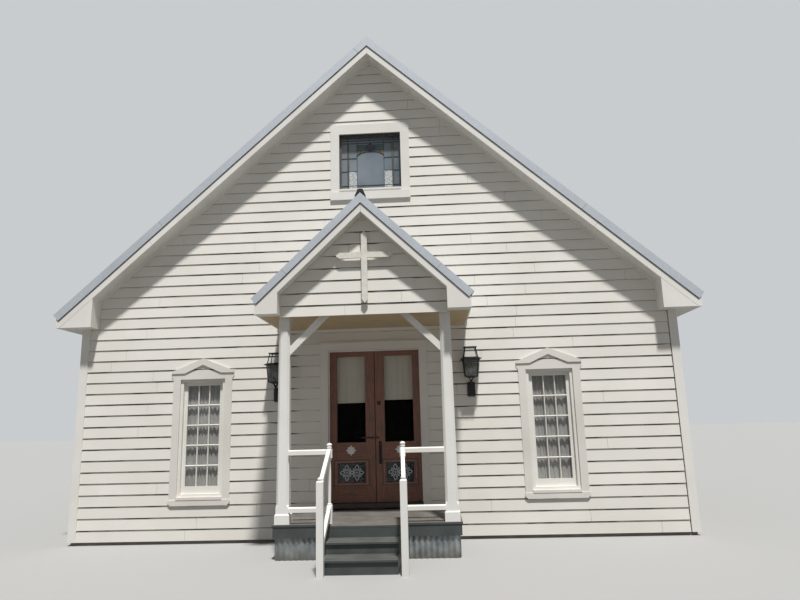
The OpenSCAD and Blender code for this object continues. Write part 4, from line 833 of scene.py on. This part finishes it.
def lace(bm, cx, cz, y0, y1):
    """One lace motif: a ring round a small cross, four pierced points and four barbed spikes."""
    def at(r, turn, side=0.0):
        cosine, sine = math.cos(turn), math.sin(turn)
        return (cx + r * cosine - side * sine, cz + r * sine + side * cosine)

    strip(bm, [at(lace_ring, math.pi * k / 8) for k in range(17)], lace_thread, y0, y1)
    for k in range(8):
        turn = math.pi * k / 4
        if k % 2:
            strip(bm, [at(lace_ring, turn), at(0.090, turn)], lace_thread, y0, y1)
            strip(bm, [at(0.066, turn, -0.018), at(0.074, turn), at(0.066, turn, 0.018)], lace_thread, y0, y1)
            continue
        tip = lace_wide if k % 4 == 0 else lace_tall
        middle = (lace_ring + tip) / 2
        strip(bm, [at(0.004, turn), at(lace_ring, turn)], lace_thread * 0.7, y0, y1)
        strip(bm, [at(lace_ring, turn, -0.008), at(middle, turn, -lace_belly), at(tip - 0.004, turn),
                   at(middle, turn, lace_belly), at(lace_ring, turn, 0.008)], lace_thread, y0, y1)


small_x, small_low, small_high = (stile_edge0 + stile_edge1) / 2, 0.853, 1.164
small_z, bead, lace_apart = (small_low + small_high) / 2, 0.020, 0.160
slate_front, slate_back = leaf_front + 0.026, leaf_front + 0.029
lace_front, lace_back, lace_step = leaf_front + 0.0180, leaf_front + 0.0192, 0.0002


def panel_frame(name, body, side, material, strips):
    """Strips round a small panel, each given by its reach from the opening, width and height."""
    bm = bmesh.new()
    for reach, wide, proud in strips:
        low, high = small_low - reach, small_high + reach
        left, right = sorted((side * (stile_edge0 - reach), side * (stile_edge1 + reach)))
        front, back = leaf_front - proud, leaf_front + 0.0005
        for z in (low, high - wide):
            box(bm, (left, front, z), (right, back, z + wide))
        for x in (left, right - wide):
            box(bm, (x, front, low + wide), (x + wide, back, high - wide))
    piece(body + name, bm, material, body)


# The moulding round each small panel: its bead is painted pale, partly rubbed wear and partly a
# painted highlight, and its quirk near black, a painted shadow.
bead_wear_and_highlight = mottled("bead_wear_and_highlight_mahogany", 0.45, 18.0, 4.0, ((0.35, "#6E4934"), (0.6, "#99755E")), 0.0005)
quirk_painted_shadow = mottled("quirk_painted_shadow_finish", 0.5, 40.0, 3.0, ((0.3, "#1B110C"), (0.7, "#2E1E15")), 0.0005)
for side, body in ((-1, "left_door"), (1, "right_door")):
    backing = bmesh.new()
    x0, x1 = sorted((side * (stile_edge0 + bead), side * (stile_edge1 - bead)))
    box(backing, (x0, slate_front, small_low), (x1, slate_back, small_high))
    ease(backing, 0.001)
    piece(body + "_slate_pane", backing, slate_glass, body)
    lace_bm = bmesh.new()
    for i, offset in enumerate((-lace_apart / 2, lace_apart / 2)):
        shift = lace_step * i
        lace(lace_bm, side * small_x + offset, small_z, lace_front + shift, lace_back + shift)
    piece(body + "_etched_lace", lace_bm, etched, body)
    panel_frame("_panel_moulding", body, side, mahogany, ((0.036, 0.016, 0.007), (0.008, 0.008, 0.004)))
    panel_frame("_panel_bead", body, side, bead_wear_and_highlight, ((0.020, 0.012, 0.011),))
    panel_frame("_panel_quirk", body, side, quirk_painted_shadow, ((0.046, 0.010, 0.002),))


# Roller shades: cream blackout cloth on a tube between two brackets on the leaf's inner face, with
# a hem bar. The left one is pulled down a little further.
shade_cloth, tree, shader, place = finish("cream_shade_cloth", 0.85, Sheen_Weight=0.1)
creases = add(tree, "Mapping", {"Vector": place, "Scale": (22, 22, 1.2)})
crease = add(tree, "TexNoise", {"Vector": creases, "Scale": 1.0, "Detail": 3.0})
weave = add(tree, "TexNoise", {"Vector": place, "Scale": 600.0})
cloth = add(tree, "ValToRGB", {0: crease}, stops=((0.3, "#E3DECB"), (0.7, "#F0ECDC")))
relief = add(tree, "MixRGB", {"Fac": 0.25, "Color1": crease, "Color2": weave})
feed(tree, shader, cloth, relief, 0.0015)
shade_metal = mottled("painted_roller_steel", 0.5, 25.0, 2.0, ((0.3, "#B9B4A4"), (0.7, "#CCC7B8")), 0.0003)
large_top, shade_side, shade_edge = 2.865, 0.018, 0.006
tube_radius, tube_rise, tube_in, cloth_in = 0.0145, 0.024, 0.022, 0.0365
bracket_thick, bracket_half, bracket_deep = 0.004, 0.018, 0.040
hem_front, hem_back, hem_tall = leaf_back + 0.030, leaf_back + 0.035, 0.025
for side, body, drop in ((-1, "left_door", 0.760), (1, "right_door", 0.725)):
    x0, x1 = sorted((side * (stile_edge0 - shade_side), side * (stile_edge1 + shade_side)))
    tube_z, cloth_y, foot = large_top + tube_rise, leaf_back + cloth_in, large_top - drop
    tube_bm = bmesh.new()
    tube_place = Matrix.Translation(((x0 + x1) / 2, leaf_back + tube_in, tube_z))
    bmesh.ops.create_cone(tube_bm, cap_ends=True, segments=24, radius1=tube_radius, radius2=tube_radius,
                          depth=x1 - x0, matrix=tube_place @ Matrix.Rotation(math.pi / 2, 4, "Y"))
    for x in (x0 - bracket_thick, x1):
        box(tube_bm, (x, leaf_back, tube_z - bracket_half),
            (x + bracket_thick, leaf_back + bracket_deep, tube_z + bracket_half))
    tube = piece(body + "_shade_roller", tube_bm, shade_metal, body, smooth=True)
    cloth_x0, cloth_wide = x0 + shade_edge, x1 - x0 - 2 * shade_edge
    hem_bm = bmesh.new()
    box(hem_bm, (cloth_x0, hem_front, foot), (cloth_x0 + cloth_wide, hem_back, foot + hem_tall))
    ease(hem_bm, 0.002, 2)
    hem = piece(body + "_shade_hem_bar", hem_bm, shade_cloth, body)
    cloth_bm = bmesh.new()
    bmesh.ops.create_grid(cloth_bm, x_segments=30, y_segments=40, size=0.5)
    for v in cloth_bm.verts:
        u, down = v.co.x + 0.5, 0.5 - v.co.y
        bow = 0.0011 * math.sin(7.5 * u + side) * math.sin(math.pi * down)
        v.co = Vector((cloth_x0 + cloth_wide * u, cloth_y + bow, tube_z + (foot - tube_z) * down))
    shade = piece(body + "_shade_sheet", cloth_bm, shade_cloth, body, smooth=True)
    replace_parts(shade, body + "_shade")


# Threshold: an oak sill between the jambs, given a very dark colour.
dress(mottled("dark_oak_threshold", 0.6, (5, 80, 80), 4.0, ((0.3, "#241F1B"), (0.7, "#3D3630")), 0.0008),
      "door_threshold")


# Door furniture: forged and cast iron with an old dark finish. The rosettes are cast composition
# painted white, worn on their high lobes.
dress(mottled("blackened_iron", 0.5, 35.0, 4.0, ((0.35, "#100F0E"), (0.7, "#25221E")), 0.0008,
              Metallic=0.5), "left_door_hardware", "right_door_hardware")
chipped_white = ((0.34, "#8C7766"), (0.42, "#DAD8D4"), (0.8, "#E6E4E2"))
dress(mottled("painted_composition", 0.6, 60.0, 3.0, chipped_white, 0.001),
      "left_door_rosette", "right_door_rosette")


# Porch deck and steps: pine boards laid across the porch under slate grey paint. Upward faces are
# paler, partly dust and partly painted light, and the lower treads less so. The treads are two boards
# each, with round fronts that feet have rubbed near the middle.
deck_paint, tree, shader, place = finish("slate_deck_paint", 0.6)
drawn = add(tree, "Mapping", {"Vector": place, "Scale": (5, 90, 90)})
grain = add(tree, "TexNoise", {"Vector": drawn, "Scale": 1.0, "Detail": 5.0, "Distortion": 0.5})
patches = add(tree, "TexNoise", {"Vector": place, "Scale": 4.0, "Detail": 6.0})
coat = add(tree, "ValToRGB", {0: patches}, stops=((0.3, "#373C3B"), (0.7, "#484D4B")))
dust_and_light_tone = add(tree, "ValToRGB", {0: patches}, stops=((0.3, "#5C5751"), (0.7, "#706C65")))
# Upward faces are lightened: partly dust, partly painted light; on the lower treads only about a third as
# much.
upward = add(tree, "SeparateXYZ", {0: add(tree, "NewGeometry", out="Normal")}, out="Z")
height = add(tree, "SeparateXYZ", {0: place}, out="Z")
tops_light_by_height = add(tree, "MapRange", {"Value": height, "From Min": deck_high.z - 0.06,
                                    "From Max": deck_high.z - 0.03, "To Min": 0.35, "To Max": 1.0})
up_facing_dust_and_light = add(tree, "MapRange", {"Value": upward, "From Min": 0.4, "From Max": 0.9, "To Max": tops_light_by_height})
dust_and_lit_tops = add(tree, "MixRGB", {"Fac": up_facing_dust_and_light, "Color1": coat, "Color2": dust_and_light_tone})
worn = add(tree, "Attribute", attribute_name="worn_edge", out="Fac")
rubbed = add(tree, "Math", {0: worn, 1: patches}, operation="MULTIPLY")
bare = add(tree, "MapRange", {"Value": rubbed, "From Min": 0.50, "From Max": 0.58})
timber = add(tree, "ValToRGB", {0: grain}, stops=((0.3, "#776A5E"), (0.7, "#8C8075")))
shown = add(tree, "MixRGB", {"Fac": bare, "Color1": dust_and_lit_tops, "Color2": timber})
gloss = add(tree, "MapRange", {"Value": patches, "To Min": 0.45, "To Max": 0.75})
feed(tree, shader, shown, grain, 0.0012, gloss)
dress(deck_paint, "porch_rim", "step_stringers")

deck_top, deck_thick, deck_depth, step_half = deck_high.z, 0.032, 1.400, 0.465
top_step, going, riser, nosing, board_gap = 0.160, 0.352, 0.143, 0.025, 0.004
deck_board, full_length = 0.14, 9.0
worn_middle, worn_half, worn_deep, loop_back = 0.08, 0.22, 0.02, 0.06


def worn_front(bm, front_y):
    """Adds an edge loop behind the front edge and marks the front's middle as worn."""
    cut(bm, (0, front_y + loop_back, 0), (0, 1, 0))
    for x in (worn_middle - worn_half, worn_middle + worn_half, worn_middle):
        cut(bm, (x, 0, 0), (1, 0, 0))
    layer = bm.verts.layers.float.new("worn_edge")
    for v in bm.verts:
        near = max(0.0, 1 - abs(v.co.x - worn_middle) / worn_half)
        v[layer] = near if v.co.y < front_y + worn_deep else 0.0


deck_bm = planks(bmesh.new(), (deck_low.x, wall_y - deck_depth, deck_top - deck_thick),
                 (deck_high.x, wall_y, deck_top), 1, deck_board, board_gap, full_length, seed=5)
box(deck_bm, (-step_half, deck_low.y, deck_top - deck_thick),
    (step_half, wall_y - deck_depth - 0.003, deck_top))
ease(deck_bm, 0.004, 2)
worn_front(deck_bm, deck_low.y)
deck_boards = piece("deck_boards", deck_bm, deck_paint)
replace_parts(deck_boards, "porch_deck")
step_bm = bmesh.new()
for k in (1, 2):
    top, front = deck_top - k * riser, wall_y - deck_depth - top_step - k * going
    back = front + going - 0.002 + (nosing if k == 2 else 0)
    middle = (front + back) / 2
    one = bmesh.new()
    box(one, (-step_half, front, top - deck_thick), (step_half, middle - board_gap / 2, top))
    box(one, (-step_half, middle + board_gap / 2, top - deck_thick), (step_half, back, top))
    ease(one, 0.006, 3)
    worn_front(one, front)
    stamp(step_bm, one, [Matrix()])
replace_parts(piece("step_treads", step_bm, deck_paint), "porch_steps")


# Porch skirting: corrugated galvanised sheet set on edge under the rim, gone dull and stained by
# the soil.
old_zinc, tree, shader, place = finish("weathered_corrugated_sheet", 0.65, Metallic=0.7)
bloom = add(tree, "TexNoise", {"Vector": place, "Scale": 7.0, "Detail": 6.0})
height = add(tree, "SeparateXYZ", {0: place}, out="Z")
soil = add(tree, "MapRange", {"Value": height, "From Max": 0.13, "To Min": 0.7, "To Max": 0.0})
tone = add(tree, "ValToRGB", {0: bloom}, stops=((0.3, "#767B7C"), (0.7, "#A5A9A8")))
soiled = add(tree, "MixRGB", {"Fac": soil, "Color1": tone, "Color2": linear("#6B6153")})
feed(tree, shader, soiled, bloom, 0.0005)
dress(old_zinc, "porch_skirting")


# Porch frame: solid posts with stopped chamfers, turned newels and rails, all brushed white.
post_paint, *_ = painted_wood("post_paint", "#E6E4DD", "#DCD9D1", along=2)
dress(post_paint, "porch_posts", "porch_newels")


# Porch gable: sheathed and clad with the same lap siding, and ceiled with narrow boards stained tan.
porch_face_y, porch_half_face, porch_first = wall_y - 1.413, 1.189, 3.262
porch_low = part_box("porch_gable")[0].z
porch_bm = clad(-porch_half_face, porch_half_face, porch_low, porch_apex_z, porch_first, [], seed=21)
trim_to_slopes(porch_bm, porch_roof)
bmesh.ops.translate(porch_bm, verts=porch_bm.verts, vec=(0, porch_face_y, 0))
# A roof raised by 0.9 m puts the whole gable in the shaded zone, where the painted lap shadow is faint.
raised = 0.9
porch_shade_roof = (porch_apex_z + raised, porch_slope)
siding_porch = siding_paint("siding_paint_porch", 0, porch_first, porch_shade_roof, faint_laps_in_shade=0.2)
piece("porch_siding", porch_bm, siding_porch)
dress(trim_paint, "porch_gable")

tan_stain = mottled("tan_ceiling_stain", 0.6, (4, 80, 80), 5.0, ((0.3, "#A89170"), (0.7, "#CFBA94")), 0.0008)
ceiling_low, ceiling_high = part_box("porch_ceiling")
ceiling_board, ceiling_gap = 0.088, 0.002
ceiling_bm = planks(bmesh.new(), ceiling_low, ceiling_high, 1, ceiling_board, ceiling_gap, full_length,
                    seed=7)
ease(ceiling_bm, 0.002)
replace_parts(piece("ceiling_boards", ceiling_bm, tan_stain), "porch_ceiling")


# Cross: two boards halved together with notched and pointed ends, under thin weathered paint.
cross_paint, tree, shader, place = finish("weathered_cross_paint", 0.75)
grain = add(tree, "TexNoise", {"Vector": place, "Scale": 14.0, "Detail": 6.0, "Distortion": 0.8})
chips = add(tree, "TexNoise", {"Vector": place, "Scale": 55.0, "Detail": 4.0})
coat = add(tree, "ValToRGB", {0: grain}, stops=((0.3, "#D0CABD"), (0.65, "#E2DED4")))
chipped = add(tree, "MapRange", {"Value": chips, "From Min": 0.70, "From Max": 0.76, "To Max": 0.6})
tone = add(tree, "MixRGB", {"Fac": chipped, "Color1": coat, "Color2": linear("#9A8672")})
feed(tree, shader, tone, grain, 0.001)
dress(cross_paint, "porch_cross")


# Wall lanterns: cast aluminium bodies powder coated black, with seeded glass below, plain panes in
# the gallery and a frosted candle bulb.
dress(mottled("black_powder_coat", 0.45, 9.0, 4.0, ((0.3, "#0B0B0C"), (0.75, "#1A1B1D")), 0.0004,
              grit=(150.0, 2.0), Specular_IOR_Level=0.3), "wall_lanterns")
seeded, tree, shader, place = finish("seeded_lantern_glass", 0.15, Alpha=0.36)
seeds = add(tree, "TexVoronoi", {"Vector": place, "Scale": 55.0})
mist = add(tree, "TexNoise", {"Vector": place, "Scale": 12.0, "Detail": 3.0})
tone = add(tree, "ValToRGB", {0: mist}, stops=((0.3, "#4A4D4A"), (0.7, "#767976")))
feed(tree, shader, tone, seeds, 0.002)
dress(seeded, "lantern_glass")
dress(mottled("frosted_bulb_glass", 0.5, 30.0, 2.0, ((0.3, "#C4C1B4"), (0.7, "#DFDCD0")), 0.0003),
      "lantern_bulbs")

gallery_glass = mottled("clear_gallery_glass", 0.08, 9.0, 3.0, ((0.3, "#A8ABA8"), (0.7, "#C6C8C5")), 0.001,
                        Alpha=0.06)
lantern_x, lantern_y, gallery_pane = 1.555, wall_y - 0.1885, 0.003
lantern_cap, gallery_tall = 0.015, 0.148
gallery_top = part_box("wall_lanterns")[1].z - lantern_cap
gallery_low = gallery_top - gallery_tall
low_half, high_half = 0.1035, 0.0755
gallery_bm = bmesh.new()
for x in (-lantern_x, lantern_x):
    for quarter in range(4):
        corners = [(-low_half, low_half, gallery_low), (low_half, low_half, gallery_low),
                   (high_half, high_half, gallery_top), (-high_half, high_half, gallery_top)]
        turn = Matrix.Rotation(quarter * math.pi / 2, 4, "Z")
        stand = Matrix.Translation((x, lantern_y, 0)) @ turn
        inwards = turn.to_3x3() @ Vector((0, -gallery_pane, 0))
        prism(gallery_bm, [stand @ Vector(corner) for corner in corners], inwards)
piece("gallery_panes", gallery_bm, gallery_glass)
